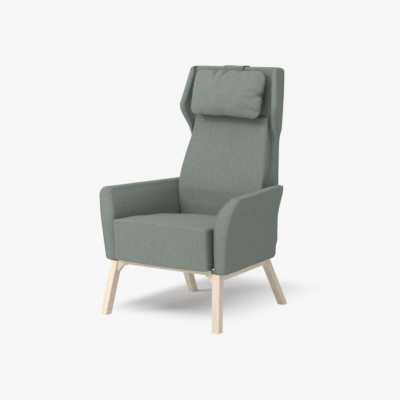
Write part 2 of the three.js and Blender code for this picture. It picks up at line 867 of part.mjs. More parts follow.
function padRing(levelIndex, inset) {
  const [heightShare, depthShare, widthShare, roundShare] = padLevelShares[levelIndex];
  const bottom = padBottomZ + inset;
  const z = mix(bottom, padTopZ - inset, heightShare);
  const half = padHalfWidth * widthShare - inset;
  const rear = shellFrontAt(z) + padShellOverlap - inset;
  const front = mix(padLumbarY, padTopDepth, depthShare) + inset;
  const round = Math.min(padEdgeRound * roundShare, (rear - front) * padRoundLimitShare);
  const crownAt = (share) => padCrown * (1 - share * share) * Math.sin(Math.PI * heightShare);
  const pull = padSidePull * Math.sin(Math.PI * heightShare);
  const frontHalf = padAcrossShares.map(([share, back]) =>
    [half * share, front + back * round - crownAt(share), z]);
  const rearHalf = padAcrossShares.map(([share, , back]) =>
    [(half - pull * back) * share, rear - back * round, z]);
  const mirrored = ([x, y, at]) => [-x, y, at];
  const fronts = [...frontHalf.slice(1).reverse().map(mirrored), ...frontHalf];
  const rears = [...rearHalf.slice(1).reverse().map(mirrored), ...rearHalf];
  return [...fronts, ...rears.reverse()];
}

// The pad is trimmed to the shell it leans on.
function padBody(inset) {
  const whole = loft(padLevelShares.map((row, k) => padRing(k, inset)));
  return cut(whole, shellBody(-inset - fitGap));
}

// The strip under the pad where its cover is open.
function padOpening() {
  const half = padHalfWidth * padLevelShares[0][2] - padOpeningEnd;
  const front = mix(padLumbarY, padTopDepth, padLevelShares[0][1]) + padOpeningMargin;
  const rear = shellFrontAt(padBottomZ) - padOpeningMargin;
  return boxBetween([-half, front, padBottomZ - cutOverrun], [half, rear, padBottomZ + foamGap]);
}

// Head pillow: two crowned sheets that meet at the seam, with the seam drawn in between the corners.
const pillowAcross = 14;
const pillowUp = 10;
const pillowPowerShare = 3.4;
const pillowFullnessShare = 0.42;

// Rows and columns crowd towards the seam: from -1 to 1 over a count of steps.
const pillowSpread = (step, count) => -Math.cos((Math.PI * step) / count);

function pillowBody(inset) {
  const positions = [];
  const index = [];
  const seat = new Map();
  const tilt = new THREE.Matrix4().makeRotationX(-pillowTilt);
  const vertex = (i, j, face) => {
    const rim = i === 0 || j === 0 || i === pillowAcross || j === pillowUp;
    const key = `${i} ${j} ${rim ? 0 : face}`;
    if (seat.has(key)) return seat.get(key);
    const u = pillowSpread(i, pillowAcross);
    const v = pillowSpread(j, pillowUp);
    const room = (1 - Math.abs(u) ** pillowPowerShare) * (1 - Math.abs(v) ** pillowPowerShare);
    const depth = rim ? 0 : (pillowHalfDepth - inset) * room ** pillowFullnessShare;
    const across = u * (pillowHalfWidth - inset - pillowEdgePull * (1 - v * v));
    const up = v * (pillowHalfHeight - inset - pillowEdgePull * (1 - u * u));
    const point = new THREE.Vector3(across, face * depth, up).applyMatrix4(tilt);
    positions.push(point.x, point.y + pillowY, point.z + pillowZ);
    seat.set(key, seat.size);
    return seat.size - 1;
  };
  for (const face of [-1, 1]) {
    for (let i = 0; i < pillowAcross; i++) {
      for (let j = 0; j < pillowUp; j++) {
        const a = vertex(i, j, face);
        const b = vertex(i + 1, j, face);
        const c = vertex(i + 1, j + 1, face);
        const d = vertex(i, j + 1, face);
        if (face < 0) index.push(a, b, c, a, c, d);
        else index.push(a, c, b, a, d, c);
      }
    }
  }
  return solidFrom(outwardGeometry(positions, index));
}

function pillowSlot() {
  const seamZ = pillowZ - pillowHalfHeight * Math.cos(pillowTilt);
  const seamY = pillowY - pillowHalfHeight * Math.sin(pillowTilt);
  return boxBetween(
    [-pillowSlotHalf, seamY - pillowSlotDepth / 2, seamZ - cutOverrun],
    [pillowSlotHalf, seamY + pillowSlotDepth / 2, seamZ + pillowSlotHeight],
  );
}

// Strap over the top edge: front drop, saddle and rear drop
const strapTopZ = shellTopZ + fitGap + strapThickness;
const strapFootZ = shellTopZ - strapDrop;

function sidePrism(outline, half) {
  const settings = { depth: half + half, bevelEnabled: false };
  const geometry = new THREE.ExtrudeGeometry(outlineShape(outline), settings);
  geometry.rotateX(Math.PI / 2).rotateZ(Math.PI / 2);
  return solidFrom(geometry.translate(-half, 0, 0));
}

function strapTopBody() {
  const front = shellFrontAt(strapFootZ) - fitGap;
  const rear = shellRearAt(shellTopZ) + fitGap;
  const under = shellTopZ + fitGap;
  const outline = [
    [front - strapThickness, strapFootZ],
    [front, strapFootZ],
    [front, under],
    [rear, under],
    [rear, strapFootZ],
    [rear + strapThickness, strapFootZ],
    [rear + strapThickness, strapTopZ],
    [front - strapThickness, strapTopZ],
  ];
  return sidePrism(outline, strapHalfWidth);
}

// The pillow's back surface on its middle line at a row of its grid, leaning with the pillow.
function pillowBackAt(row) {
  const v = pillowSpread(row, pillowUp);
  const up = v * (pillowHalfHeight - pillowEdgePull);
  const room = 1 - Math.abs(v) ** pillowPowerShare;
  const depth = pillowHalfDepth * room ** pillowFullnessShare;
  const y = pillowY + up * Math.sin(pillowTilt) + depth * Math.cos(pillowTilt);
  const z = pillowZ + up * Math.cos(pillowTilt) - depth * Math.sin(pillowTilt);
  return [y, z];
}

function strapFrontBody() {
  const topZ = strapFootZ - fitGap;
  const topY = shellFrontAt(strapFootZ) - fitGap - strapThickness;
  const [backY, backZ] = pillowBackAt(strapSewnRow);
  const lowY = backY + fitGap;
  const outline = [
    [topY, topZ],
    [topY + strapThickness, topZ],
    [lowY + strapThickness, backZ],
    [lowY, backZ],
  ];
  return sidePrism(outline, strapHalfWidth);
}

const pouchTopZ = pouchBottomZ + pouchHeight;
const rearSlopeY = (z) => shellRearAt(z) + fitGap;

function strapRearBody() {
  const topZ = strapFootZ - fitGap;
  const lowZ = pouchTopZ + fitGap;
  const outline = [
    [rearSlopeY(topZ), topZ],
    [rearSlopeY(topZ) + strapThickness, topZ],
    [rearSlopeY(lowZ) + strapThickness, lowZ],
    [rearSlopeY(lowZ), lowZ],
  ];
  return sidePrism(outline, strapHalfWidth);
}

function pouchSlab(half, lowZ, highZ, gap, thickness) {
  const outline = [
    [rearSlopeY(lowZ) + gap, lowZ],
    [rearSlopeY(lowZ) + gap + thickness, lowZ],
    [rearSlopeY(highZ) + gap + thickness, highZ],
    [rearSlopeY(highZ) + gap, highZ],
  ];
  return sidePrism(outline, half);
}

function weightBar(grow) {
  const gap = (pouchThickness - weightBarThickness) / 2 - grow;
  const low = pouchBottomZ + (pouchHeight - weightBarHeight) / 2 - grow;
  const high = low + weightBarHeight + grow + grow;
  return pouchSlab(weightBarHalfWidth + grow, low, high, gap, weightBarThickness + grow + grow);
}

function pouchBody() {
  const slab = pouchSlab(pouchHalfWidth, pouchBottomZ, pouchTopZ, 0, pouchThickness);
  const gap = (pouchThickness - weightBarThickness) / 2;
  const mouthTop = pouchBottomZ + pouchHeight / 2;
  const mouth = pouchSlab(weightBarHalfWidth, pouchBottomZ - cutOverrun, mouthTop, gap, weightBarThickness);
  return cut(slab, weightBar(fitGap), mouth);
}

// Assembly
const chair = new THREE.Group();
const sides = [["left", 1], ["right", -1]];

function place(name, solid, finish) {
  const mesh = new THREE.Mesh(geometryFrom(solid), new THREE.MeshStandardMaterial(finish));
  mesh.geometry.computeVertexNormals();
  mesh.name = name;
  chair.add(mesh);
}

function addBase() {
  const ends = Object.entries(legs);
  const allLegs = (grow) => sides.flatMap(([, side]) => ends.map(([, leg]) => legBody(side, leg, grow)));
  place("rail_front", cut(frontRailBody(0), ...allLegs(fitGap)), birch);
  place("rail_rear", cut(rearRailBody(0), ...allLegs(fitGap)), birch);
  for (const [sideName, side] of sides) {
    const legPockets = ends.map(([, leg]) => legBody(side, leg, fitGap));
    const railCuts = [...legPockets, frontRailBody(fitGap), rearRailBody(fitGap), armBolt(side, boltHole)];
    place(`rail_${sideName}`, cut(sideRailBody(side, 0), ...railCuts), birch);
    for (const [end, leg] of ends) {
      const spot = blockBolts[end];
      const bolt = legBolt(side, spot, boltHole);
      const body = cut(legBody(side, leg, 0), bolt, glideBody(side, leg, fitGap));
      place(`leg_${end}_${sideName}`, body, birch);
      place(`glide_${end}_${sideName}`, glideBody(side, leg, 0), nylon);
      const rails = [sideRailBody(side, fitGap), crossRailSlot(spot.railY)];
      const block = cut(blockBody(side, spot), legBody(side, leg, fitGap), ...rails, bolt);
      place(`corner_block_${end}_${sideName}`, block, plywood);
      place(`leg_bolt_${end}_${sideName}`, legBolt(side, spot, boltBody), steel);
    }
  }
}

function backBolt(side, shape) {
  const seat = [side * backBoltX, seatFrameRearY - seatFrameThickness, (frameBottomZ + seatFrameTopZ) / 2];
  const upright = shellFrontAt(seat[2]) + uprightSetback;
  return shape(seat, [0, 1, 0], upright + backBoltDepth - seat[1]);
}

function addSeat() {
  const recess = seatRecess(fitGap);
  const cover = cut(seatBody(0), seatBody(coverThickness), recess);
  place("seat_cover", cover, wool);
  place("seat_foam", cut(seatBody(foamGap), recess), foam);
  const frontInner = seatFrameFrontY + seatFrameThickness;
  const rearInner = seatFrameRearY - seatFrameThickness;
  const backBolts = sides.map(([, side]) => backBolt(side, boltHole));
  const front = planPrism(framePlan(seatFrameFrontY, frontInner, 0), frameBottomZ, seatFrameTopZ);
  const rear = planPrism(framePlan(rearInner, seatFrameRearY, 0), frameBottomZ, seatFrameTopZ);
  place("seat_frame_front", front, plywood);
  place("seat_frame_rear", cut(rear, ...backBolts), plywood);
  for (const [sideName, side] of sides) {
    place(`seat_frame_${sideName}`, seatFrameSide(side), plywood);
  }
  const strapNames = ["left", "middle", "right"];
  strapNames.forEach((strapName, k) => {
    const x = (1 - k) * webbingPitch;
    const low = [x - webbingWidth / 2, seatFrameFrontY, webbingBottomZ];
    const high = [x + webbingWidth / 2, seatFrameRearY, webbingTopZ];
    place(`webbing_${strapName}`, boxBetween(low, high), webbingFinish);
  });
  const dustPlan = framePlan(seatFrameFrontY, seatFrameRearY, 0);
  place("dust_cover", planPrism(dustPlan, seatBottomZ, seatBottomZ + dustCoverThickness), dustCloth);
}

function addArms() {
  for (const [sideName, side] of sides) {
    const opening = armOpening(side);
    place(`arm_cover_${sideName}`, cut(armBody(side, 0), armBody(side, coverThickness), opening), wool);
    place(`arm_foam_${sideName}`, cut(armBody(side, foamGap), armCoreBody(side, fitGap), opening), foam);
    place(`arm_core_${sideName}`, cut(armCoreBody(side, 0), armBolt(side, boltHole)), plywood);
    place(`arm_bolt_${sideName}`, armBolt(side, boltBody), steel);
  }
}

function addBack() {
  const sideParts = ([, side]) =>
    [uprightBody(side, fitGap), wingCoreBody(side, fitGap), backBolt(side, boltHole)];
  const skeleton = [
    ...sides.flatMap(sideParts),
    backRailBody(backRailTopZ, fitGap),
    backRailBody(backRailFootZ, fitGap),
  ];
  const mouth = boxBetween(
    [-shellFootHalfWidth + wingThickness, shellFrontY + foamGap, shellBottomZ - cutOverrun],
    [shellFootHalfWidth - wingThickness, shellRearY - shellEdgeRound, shellBottomZ + foamGap],
  );
  const bolts = sides.map(([, side]) => backBolt(side, boltHole));
  place("shell_cover", cut(shellBody(0), shellBody(coverThickness), mouth, ...bolts), wool);
  place("shell_foam", cut(shellBody(foamGap), frontOfShell(foamGap), ...skeleton, mouth), foam);
  const wings = cut(shellBody(foamGap).intersect(frontOfShell(foamGap - fitGap)), ...skeleton);
  for (const [sideName, side] of sides) {
    const edges = [0, side * (shellHalfWidth + wingSpread + cutOverrun)].sort((a, b) => a - b);
    const half = boxBetween(
      [edges[0], wingTipY - cutOverrun, wingBottomZ + wingFoamStart],
      [edges[1], shellRearY + shellRearLean, shellTopZ + cutOverrun],
    );
    place(`wing_foam_${sideName}`, wings.intersect(half), foam);
    place(`wing_core_${sideName}`, wingCoreBody(side, 0), plywood);
    place(`back_upright_${sideName}`, cut(uprightBody(side, 0), backBolt(side, boltHole)), plywood);
    place(`back_bolt_${sideName}`, backBolt(side, boltBody), steel);
  }
  place("back_rail_top", backRailBody(backRailTopZ, 0), plywood);
  place("back_rail_bottom", backRailBody(backRailFootZ, 0), plywood);
  place("back_pad_cover", cut(padBody(0), padBody(coverThickness), padOpening()), wool);
  place("back_pad_foam", padBody(foamGap), foam);
}

function addPillow() {
  place("pillow_cover", cut(pillowBody(0), pillowBody(coverThickness), pillowSlot()), wool);
  place("pillow_fill", pillowBody(foamGap), foam);
  place("strap_front", strapFrontBody(), wool);
  place("strap_top", strapTopBody(), wool);
  place("strap_rear", strapRearBody(), wool);
  place("weight_pouch", pouchBody(), wool);
  place("weight_bar", weightBar(0), steel);
}

addBase();
addSeat();
addArms();
addBack();
addPillow();

// The origin lies under the middle of the whole chair.
const extent = new THREE.Box3().setFromObject(chair, true);
chair.position.y = -(extent.min.y + extent.max.y) / 2;

export default chair;
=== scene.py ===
"""High back lounge chair: the upholstery, pillow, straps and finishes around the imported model, and the
stage."""

import math

import bmesh
import bpy
import numpy as np
from bpy.props import FloatProperty, FloatVectorProperty, PointerProperty
from bpy.types import Operator, Panel, PropertyGroup
from mathutils import Matrix, Vector


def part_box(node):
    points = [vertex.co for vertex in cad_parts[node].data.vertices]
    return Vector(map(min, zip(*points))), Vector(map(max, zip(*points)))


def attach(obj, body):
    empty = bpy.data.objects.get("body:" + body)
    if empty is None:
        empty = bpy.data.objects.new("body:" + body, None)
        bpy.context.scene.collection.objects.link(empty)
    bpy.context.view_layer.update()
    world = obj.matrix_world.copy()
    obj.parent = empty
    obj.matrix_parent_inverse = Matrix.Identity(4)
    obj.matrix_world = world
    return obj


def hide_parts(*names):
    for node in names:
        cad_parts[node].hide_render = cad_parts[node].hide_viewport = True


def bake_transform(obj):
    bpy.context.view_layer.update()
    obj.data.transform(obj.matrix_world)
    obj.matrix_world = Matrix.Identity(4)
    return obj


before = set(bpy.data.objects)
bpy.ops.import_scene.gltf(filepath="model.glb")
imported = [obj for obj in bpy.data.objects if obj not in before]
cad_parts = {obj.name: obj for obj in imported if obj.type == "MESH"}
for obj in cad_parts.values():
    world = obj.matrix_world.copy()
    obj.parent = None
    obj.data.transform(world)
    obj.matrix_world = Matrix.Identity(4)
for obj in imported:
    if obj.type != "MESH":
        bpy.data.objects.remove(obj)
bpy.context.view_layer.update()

bl_info = {
    "name": "High back lounge chair",
    "version": (1, 0, 0),
    "blender": (4, 5, 0),
    "location": "3D View > Sidebar > Chair",
    "description": "Builds the upholstery, head pillow, straps and finishes of a high back lounge chair",
    "category": "Add Mesh",
}

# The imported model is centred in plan; shapes are worked out on the drawing's own axes and moved by this
DRAWN_SEAT_FRONT = -0.344
PLAN_SHIFT = np.array([0.0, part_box("seat_cover")[0].y - DRAWN_SEAT_FRONT, 0.0])
# The arms and the seat's sides toe in towards the back, from the frame's front on
TOE = math.tan(math.radians(5.3))
FRAME_FRONT = -0.298
# Points nearer than this are merged, and divisors stay over the smallest length
MERGE = 2e-6
TINY = 1e-9
SEAM_DEPTH = 0.0011
QUARTER = math.pi / 2


# Sizes and colours


def length(name, description, default):
    """A setting in metres."""
    return FloatProperty(name=name, description=description, default=default, unit="LENGTH")


def angle(name, description, degrees):
    """A setting that is given in degrees and kept in radians."""
    return FloatProperty(name=name, description=description, default=math.radians(degrees), subtype="ANGLE")


def number(name, description, default):
    """A share, a strength or a power."""
    return FloatProperty(name=name, description=description, default=default)


def tint(name, description, default):
    """A colour, as linear red, green and blue."""
    return FloatVectorProperty(name=name, description=description, default=default, subtype="COLOR", size=3)


class LoungeArmSizes(PropertyGroup):
    """Sizes of the two upholstered arms."""

    foot_x: length("Foot", "Outer side at the foot, from the middle", 0.341)
    top_x: length("Top", "Outer side at the top, from the middle", 0.3965)
    front_y: length("Front", "Front edge at its furthest", -0.3115)
    front_sweep: length("Front sweep", "How far the front edge sweeps back at the top", 0.0635)
    rear_y: length("Rear", "Rear edge at its furthest", 0.266)
    rear_sweep: length("Rear sweep", "How far the rear edge comes forward", 0.0715)
    rear_lean: number("Rear lean", "Share of the outward lean that is left at the rear", 0.26)
    inner_rear_y: length("Inner rear", "Where the arm's inner part ends, before the shell", 0.207)
    rear_depth: length("Rear depth", "Thickness of the part beside the shell", 0.044)
    foot_z: length("Foot height", "Height of the lower edge", 0.2583)
    top_z: length("Top height", "Height of the upper edge", 0.600)
    thickness: length("Thickness", "Greatest thickness", 0.083)
    outer_round: length("Outer edge", "Radius of the sewn outer edge", 0.005)
    inner_round: length("Inner edge", "Radius of the sewn inner edge", 0.007)
    band_crown: length("Band crown", "How far the band stands out between its sewn edges", 0.0026)
    inner_crown: length("Inner crown", "How far the inner face swells towards the seat", 0.007)
    outer_crown: length("Outer crown", "How far the outer face swells", 0.0025)


class LoungeSeatSizes(PropertyGroup):
    """Sizes of the seat block."""

    half_width: length("Half width", "Half of the width at the front", 0.262)
    front_y: length("Front", "Front edge at the top", -0.344)
    front_lean: length("Front lean", "How far the front leans back at the bottom", 0.014)
    rear_y: length("Rear", "Rear end", 0.149)
    bottom_z: length("Bottom", "Height of the underside", 0.2723)
    top_z: length("Top", "Height of the front of the seat", 0.470)
    rear_drop: length("Rear drop", "How far the seat falls towards the back", 0.033)
    edge_round: length("Edge", "Radius of the front and top edge", 0.011)
    side_round: length("Side edge", "Radius of the side edges", 0.014)
    puff: length("Puff", "How far the front and the top stand out in the middle", 0.003)
    side_swell: length("Side swell", "How far the sides swell towards the arms", 0.005)
    crown: length("Crown", "How far the top falls to the sides", 0.006)


class LoungeShellSizes(PropertyGroup):
    """Sizes of the back shell and its wings."""

    bottom_z: length("Bottom", "Height of the lower end", 0.285)
    top_z: length("Top", "Height of the upper end", 1.160)
    half_width: length("Half width", "Half of the rear panel's width", 0.250)
    foot_half_width: length("Foot half width", "Half of the width at the lower end", 0.238)
    front_y: length("Front", "Front face at the foot", 0.212)
    front_lean: length("Front lean", "How far the front face leans back at the top", 0.078)
    rear_y: length("Rear", "Rear face at the foot", 0.307)
    rear_lean: length("Rear lean", "How far the rear face leans back at the top", 0.039)
    edge_round: length("Edge", "Radius of the rear and top edges", 0.010)
    wing_foot_z: length("Wing foot", "Height where the wings start", 0.810)
    wing_tip_z: length("Wing tip", "Height where the wings reach furthest forward", 0.971)
    wing_tip_x: length("Wing tip width", "Outer corner of the wing tip from the middle", 0.2865)
    wing_tip_y: length("Wing tip front", "Front of the wing tip", 0.226)
    wing_top_y: length("Wing top front", "Front of the wing at the top", 0.276)
    wing_bulge: length("Wing bulge", "How far the wings' rear edges stand out", 0.010)
    top_corner: length("Top corner", "Radius of the top's outer corners in front view", 0.014)
    wing_wall: length("Wing wall", "Thickness of the wing", 0.034)


class LoungePadSizes(PropertyGroup):
    """Sizes of the back pad."""

    bottom_z: length("Bottom", "Height of the lower end", 0.315)
    top_z: length("Top", "Height of the upper end", 0.924)
    half_width: length("Half width", "Half of the greatest width", 0.244)
    lumbar_y: length("Lumbar", "Front face at its furthest forward", 0.1475)
    top_y: length("Top front", "Front face near the upper end", 0.257)
    edge_round: length("Edge", "Roundness of the side edges", 0.013)
    crown: length("Crown", "How far the face falls to the sides", 0.005)
    end_round: length("End", "Radius of the upper and lower edge", 0.010)


class LoungePillowSizes(PropertyGroup):
    """Sizes of the head pillow."""

    half_width: length("Half width", "Half of the pillow's width", 0.200)
    half_height: length("Half height", "Half of the pillow's height", 0.112)
    half_depth: length("Half depth", "Half of the pillow's thickness", 0.046)
    middle_y: length("Middle depth", "Middle of the pillow, front to back", 0.230)
    middle_z: length("Middle height", "Middle of the pillow, up and down", 1.034)
    tilt: angle("Tilt", "How far the pillow's top leans back", 13.4)
    corner: length("Corner", "Radius of the cut sheets' corners", 0.026)
    slack: number("Slack", "Share of the depth that the sheets have before they are filled", 0.72)
    filling: number("Filling", "How far the filling evens the simulated face", 0.7)
    askew: length("Askew", "How far one side is drawn out", 0.010)
    pinch: length("Pinch", "How far the right edge is pinched in", 0.006)


class LoungeStrapSizes(PropertyGroup):
    """Sizes of the strap and the weight pouch behind the shell."""

    half_width: length("Half width", "Half of the strap's width", 0.057)
    thickness: length("Thickness", "Thickness of the folded strap", 0.0046)
    lift: length("Lift", "How far the strap's long edges curl up over the shell", 0.0022)
    drop: length("Drop", "Depth of the part that stays on the shell's top", 0.018)
    pouch_bottom_z: length("Pouch bottom", "Height of the pouch's lower edge", 0.895)
    pouch_height: length("Pouch height", "Height of the pouch", 0.095)
    pouch_thickness: length("Pouch thickness", "Thickness of the filled pouch", 0.020)


class LoungeFinishColours(PropertyGroup):
    """Colours of the finishes."""

    wool: tint("Wool", "Upholstery fabric", (0.196, 0.223, 0.198))
    birch: tint("Birch", "Clear-finished birch", (0.82, 0.71, 0.57))
    plywood: tint("Plywood", "Inner frame plywood", (0.62, 0.46, 0.29))
    foam: tint("Foam", "Cushion foam", (0.72, 0.66, 0.48))
    webbing: tint("Webbing", "Seat webbing", (0.03, 0.03, 0.032))
    dust_cloth: tint("Dust cloth", "Cloth under the seat", (0.018, 0.019, 0.021))
    steel: tint("Steel", "Zinc plated bolts and the weight", (0.58, 0.58, 0.56))
    glide: tint("Glide", "Nylon floor glides", (0.04, 0.04, 0.042))


class LoungeStageSettings(PropertyGroup):
    """Camera, lamps and floor."""

    camera_turn: angle("Camera turn", "Angle of the camera round the chair", 34.61)
    camera_rise: angle("Camera rise", "Angle of the camera above the floor", 8.30)
    camera_distance: length("Camera distance", "From the camera to the point it looks at", 5.6575)
    target: FloatVectorProperty(name="Target", description="The point the camera looks at",
                                default=(-0.00226, 0.0, 0.536), subtype="XYZ", size=3)
    lens: number("Lens", "Focal length in millimetres", 106.65)
    background: tint("Background", "Floor and background as the camera sees them", (0.922, 0.922, 0.922))
    key_power: number("Key lamp", "Power of the lamp in front and to the left in watts", 106.0)
    front_power: number("Front lamp", "Power of the wide lamp high in front in watts", 58.0)
    top_power: number("Top lamp", "Power of the lamp overhead in watts", 36.0)
    low_power: number("Low lamp", "Power of the lamp low at the left in watts", 18.0)
    rear_power: number("Rear lamp", "Power of the lamp behind and to the right in watts", 15.0)
    sky: number("Sky", "Strength of the even light from all round", 0.37)
    floor_white: number("Floor", "Share of the background's colour that the floor gives back", 0.95)


GROUPS = {
    "lounge_arm": LoungeArmSizes,
    "lounge_seat": LoungeSeatSizes,
    "lounge_shell": LoungeShellSizes,
    "lounge_pad": LoungePadSizes,
    "lounge_pillow": LoungePillowSizes,
    "lounge_strap": LoungeStrapSizes,
    "lounge_colours": LoungeFinishColours,
    "lounge_stage": LoungeStageSettings,
}


# Curves and tables


def mix(low, high, share):
    """low + (high - low) * share, on numbers or arrays."""
    return low + (high - low) * share


def arch(share):
    """A parabola that is 0 at both ends of the range and 1 in the middle: 1 - (2 s - 1) squared."""
    return 1 - (2 * share - 1) ** 2


def eased(x):
    """A smooth step from 0 to 1 over x from 0 to 1: x^2 (3 - 2 x)."""
    x = np.clip(x, 0, 1)
    return x * x * (3 - 2 * x)


def bell(x, middle, width):
    """A smooth bump of height 1: e to the minus ((x - middle) / width) squared."""
    return np.exp(-(((x - middle) / width) ** 2))


def rounded_end(t):
    """How far a corner of radius 1 is drawn in, t of the way into it: 1 - sqrt(1 - t^2)."""
    return 1 - np.sqrt(1 - t**2)


def smooth_table(x, rows):
    """A smooth curve through the rows (x, y): cubic pieces whose slopes are the steps' harmonic means,
    so nothing overshoots."""
    xs, ys = np.asarray(rows, float).T
    step, slope = np.diff(xs), np.diff(ys) / np.diff(xs)
    same = slope[1:] * slope[:-1] > 0
    inner = np.where(same, 2 * slope[1:] * slope[:-1] / np.where(same, slope[1:] + slope[:-1], 1), 0)
    tangent = np.concatenate([[slope[0]], inner, [slope[-1]]])
    x = np.clip(x, xs[0], xs[-1])
    k = np.clip(np.searchsorted(xs, x, side="right") - 1, 0, len(step) - 1)
    t, h = (x - xs[k]) / step[k], step[k]
    return ((2 * t**3 - 3 * t**2 + 1) * ys[k] + (t**3 - 2 * t**2 + t) * h * tangent[k]
            + (3 * t**2 - 2 * t**3) * ys[k + 1] + (t**3 - t**2) * h * tangent[k + 1])


def stops(ends, counts):
    """Runs of even steps between the given ends, each with its own count, as one rising row."""
    runs = [np.linspace(a, b, n, endpoint=False) for a, b, n in zip(ends[:-1], ends[1:], counts)]
    return np.concatenate(runs + [[ends[-1]]])


# A swell adds this many waves, of lengths around the given one, and is divided to stay near -1 to 1
WAVES, WAVE_LENGTHS, WAVE_DIVISOR = 12, (0.7, 1.5), 5


def swell_noise(points, wavelength, seed):
    """A sum of sine waves in seeded directions, about -1 to 1, for slow unevenness in fabric."""
    random = np.random.default_rng(seed)
    directions = random.normal(size=(WAVES, 3))
    directions /= np.linalg.norm(directions, axis=1)[:, None]
    waves = 2 * math.pi / (wavelength * random.uniform(*WAVE_LENGTHS, WAVES))
    phases = random.uniform(0, 2 * math.pi, WAVES)
    return np.sin(points @ (directions * waves[:, None]).T + phases).sum(axis=-1) / WAVE_DIVISOR


LONGEST_CUT = 0.48


def rounded_path(corners, cuts, counts, arc):
    """An open path through corners (levels, k, 2): each inner corner is replaced by a circular arc of
    `arc` steps (a rational quadratic curve) that starts `cut` before it, and straight runs of `counts`
    steps join the arcs. A cut is at most LONGEST_CUT of a run."""
    corners = np.asarray(corners, float)
    legs = corners[:, 1:] - corners[:, :-1]
    lengths = np.linalg.norm(legs, axis=-1, keepdims=True)
    units = legs / np.maximum(lengths, TINY)
    pieces, start = [], corners[:, 0]
    for k in range(1, corners.shape[1] - 1):
        cut = np.minimum(np.asarray(cuts[k - 1], float).reshape(-1, 1),
                         LONGEST_CUT * np.minimum(lengths[:, k - 1], lengths[:, k]))
        before = corners[:, k] - units[:, k - 1] * cut
        after = corners[:, k] + units[:, k] * cut
        share = np.linspace(0, 1, counts[k - 1], endpoint=False)[None, :, None]
        pieces.append(mix(start[:, None], before[:, None], share))
        turn = np.clip((units[:, k - 1] * units[:, k]).sum(-1), -1, 1)
        weight = np.sqrt((1 + turn) / 2)[:, None, None]
        t = np.linspace(0, 1, arc, endpoint=False)[None, :, None]
        bottom = (1 - t) ** 2 + 2 * t * (1 - t) * weight + t**2
        pieces.append(((1 - t) ** 2 * before[:, None] + 2 * t * (1 - t) * weight * corners[:, None, k]
                       + t**2 * after[:, None]) / bottom)
        start = after
    share = np.linspace(0, 1, counts[-1] + 1)[None, :, None]
    pieces.append(mix(start[:, None], corners[:, None, -1], share))
    return np.concatenate(pieces, axis=1)


def along_curve(points, count):
    """`count` + 1 points at even steps of length along a polyline (n, 2)."""
    far = np.concatenate([[0], np.cumsum(np.linalg.norm(np.diff(points, axis=0), axis=1))])
    at = np.linspace(0, far[-1], count + 1)
    return np.stack([np.interp(at, far, points[:, k]) for k in range(points.shape[1])], axis=1)


def run_length(line):
    """The length of a polyline."""
    return float(np.linalg.norm(np.diff(line, axis=0), axis=1).sum())


# Meshes


def grid_faces(rows, columns, start=0):
    """Quads of a grid of points stored row by row."""
    first = start + (np.arange(rows - 1)[:, None] * columns + np.arange(columns - 1)[None, :]).ravel()
    return np.stack([first, first + 1, first + columns + 1, first + columns], axis=1)


class Surface:
    """Grids of points that become one closed mesh: each grid is (rows, columns, 3), in metres on the
    drawing's axes."""

    def __init__(self):
        self.points, self.faces, self.seams, self.count = [], [], [], 0

    def grid(self, points, seam=0.0):
        """Adds a grid; seam says how far each point lies on a sewn line, 0 to 1."""
        rows, columns = points.shape[:2]
        self.faces.append(grid_faces(rows, columns, self.count))
        self.points.append(points.reshape(-1, 3))
        self.seams.append(np.broadcast_to(np.asarray(seam, float), (rows, columns)).ravel())
        self.count += rows * columns
        return self

    def mirrored(self):
        """Adds every grid again on the other side of the middle plane."""
        for faces, points, seams in list(zip(self.faces, self.points, self.seams)):
            self.faces.append(faces - faces.min() + self.count)
            self.points.append(points * np.array([-1.0, 1.0, 1.0]))
            self.seams.append(seams)
            self.count += len(points)
        return self

    def build(self, name, unevenness=()):
        """Merges what touches, turns the faces outwards, presses the sewn lines in and adds the
        unevenness (height, wavelength, seed) along the normals."""
        mesh = bpy.data.meshes.new(name)
        points = np.concatenate(self.points) + PLAN_SHIFT
        faces = np.concatenate(self.faces)
        mesh.vertices.add(len(points))
        mesh.vertices.foreach_set("co", points.ravel())
        mesh.loops.add(faces.size)
        mesh.loops.foreach_set("vertex_index", faces.ravel().astype(np.int32))
        mesh.polygons.add(len(faces))
        corners = faces.shape[1]
        mesh.polygons.foreach_set("loop_start", np.arange(0, faces.size, corners, dtype=np.int32))
        mesh.polygons.foreach_set("loop_total", np.full(len(faces), corners, dtype=np.int32))
        mesh.update(calc_edges=True)
        seams = np.concatenate(self.seams).astype(np.float32)
        # The seam attribute also sets the painted shade along the sewn lines in the wool's colour
        mesh.attributes.new("seam", "FLOAT", "POINT").data.foreach_set("value", seams)
        shape = bmesh.new()
        shape.from_mesh(mesh)
        bmesh.ops.remove_doubles(shape, verts=shape.verts, dist=MERGE)
        bmesh.ops.dissolve_degenerate(shape, edges=shape.edges, dist=MERGE)
        bmesh.ops.recalc_face_normals(shape, faces=shape.faces)
        shape.to_mesh(mesh)
        shape.free()
        sewn = np.empty(len(mesh.vertices), np.float32)
        mesh.attributes["seam"].data.foreach_get("value", sewn)
        shift_along_normals(mesh, lambda at: -SEAM_DEPTH * sewn)
        for height, wavelength, seed in unevenness:
            shift_along_normals(mesh, lambda at: height * swell_noise(at, wavelength, seed))
        mesh.shade_smooth()
        made = bpy.data.objects.new(name, mesh)
        bpy.context.scene.collection.objects.link(made)
        return made


def read_points(mesh):
    """The mesh's vertices as an array (n, 3)."""
    points = np.empty(len(mesh.vertices) * 3)
    mesh.vertices.foreach_get("co", points)
    return points.reshape(-1, 3)


def read_normals(mesh):
    """The mesh's vertex normals as an array (n, 3)."""
    normals = np.empty(len(mesh.vertices) * 3, np.float32)
    mesh.vertex_normals.foreach_get("vector", normals)
    return normals.reshape(-1, 3).astype(float)


def write_points(mesh, points):
    """Sets the mesh's vertices from an array (n, 3)."""
    mesh.vertices.foreach_set("co", points.ravel())
    mesh.update()


def shift_along_normals(mesh, height):
    """Moves each point out along its normal by height(points)."""
    points = read_points(mesh)
    write_points(mesh, points + read_normals(mesh) * height(points)[:, None])


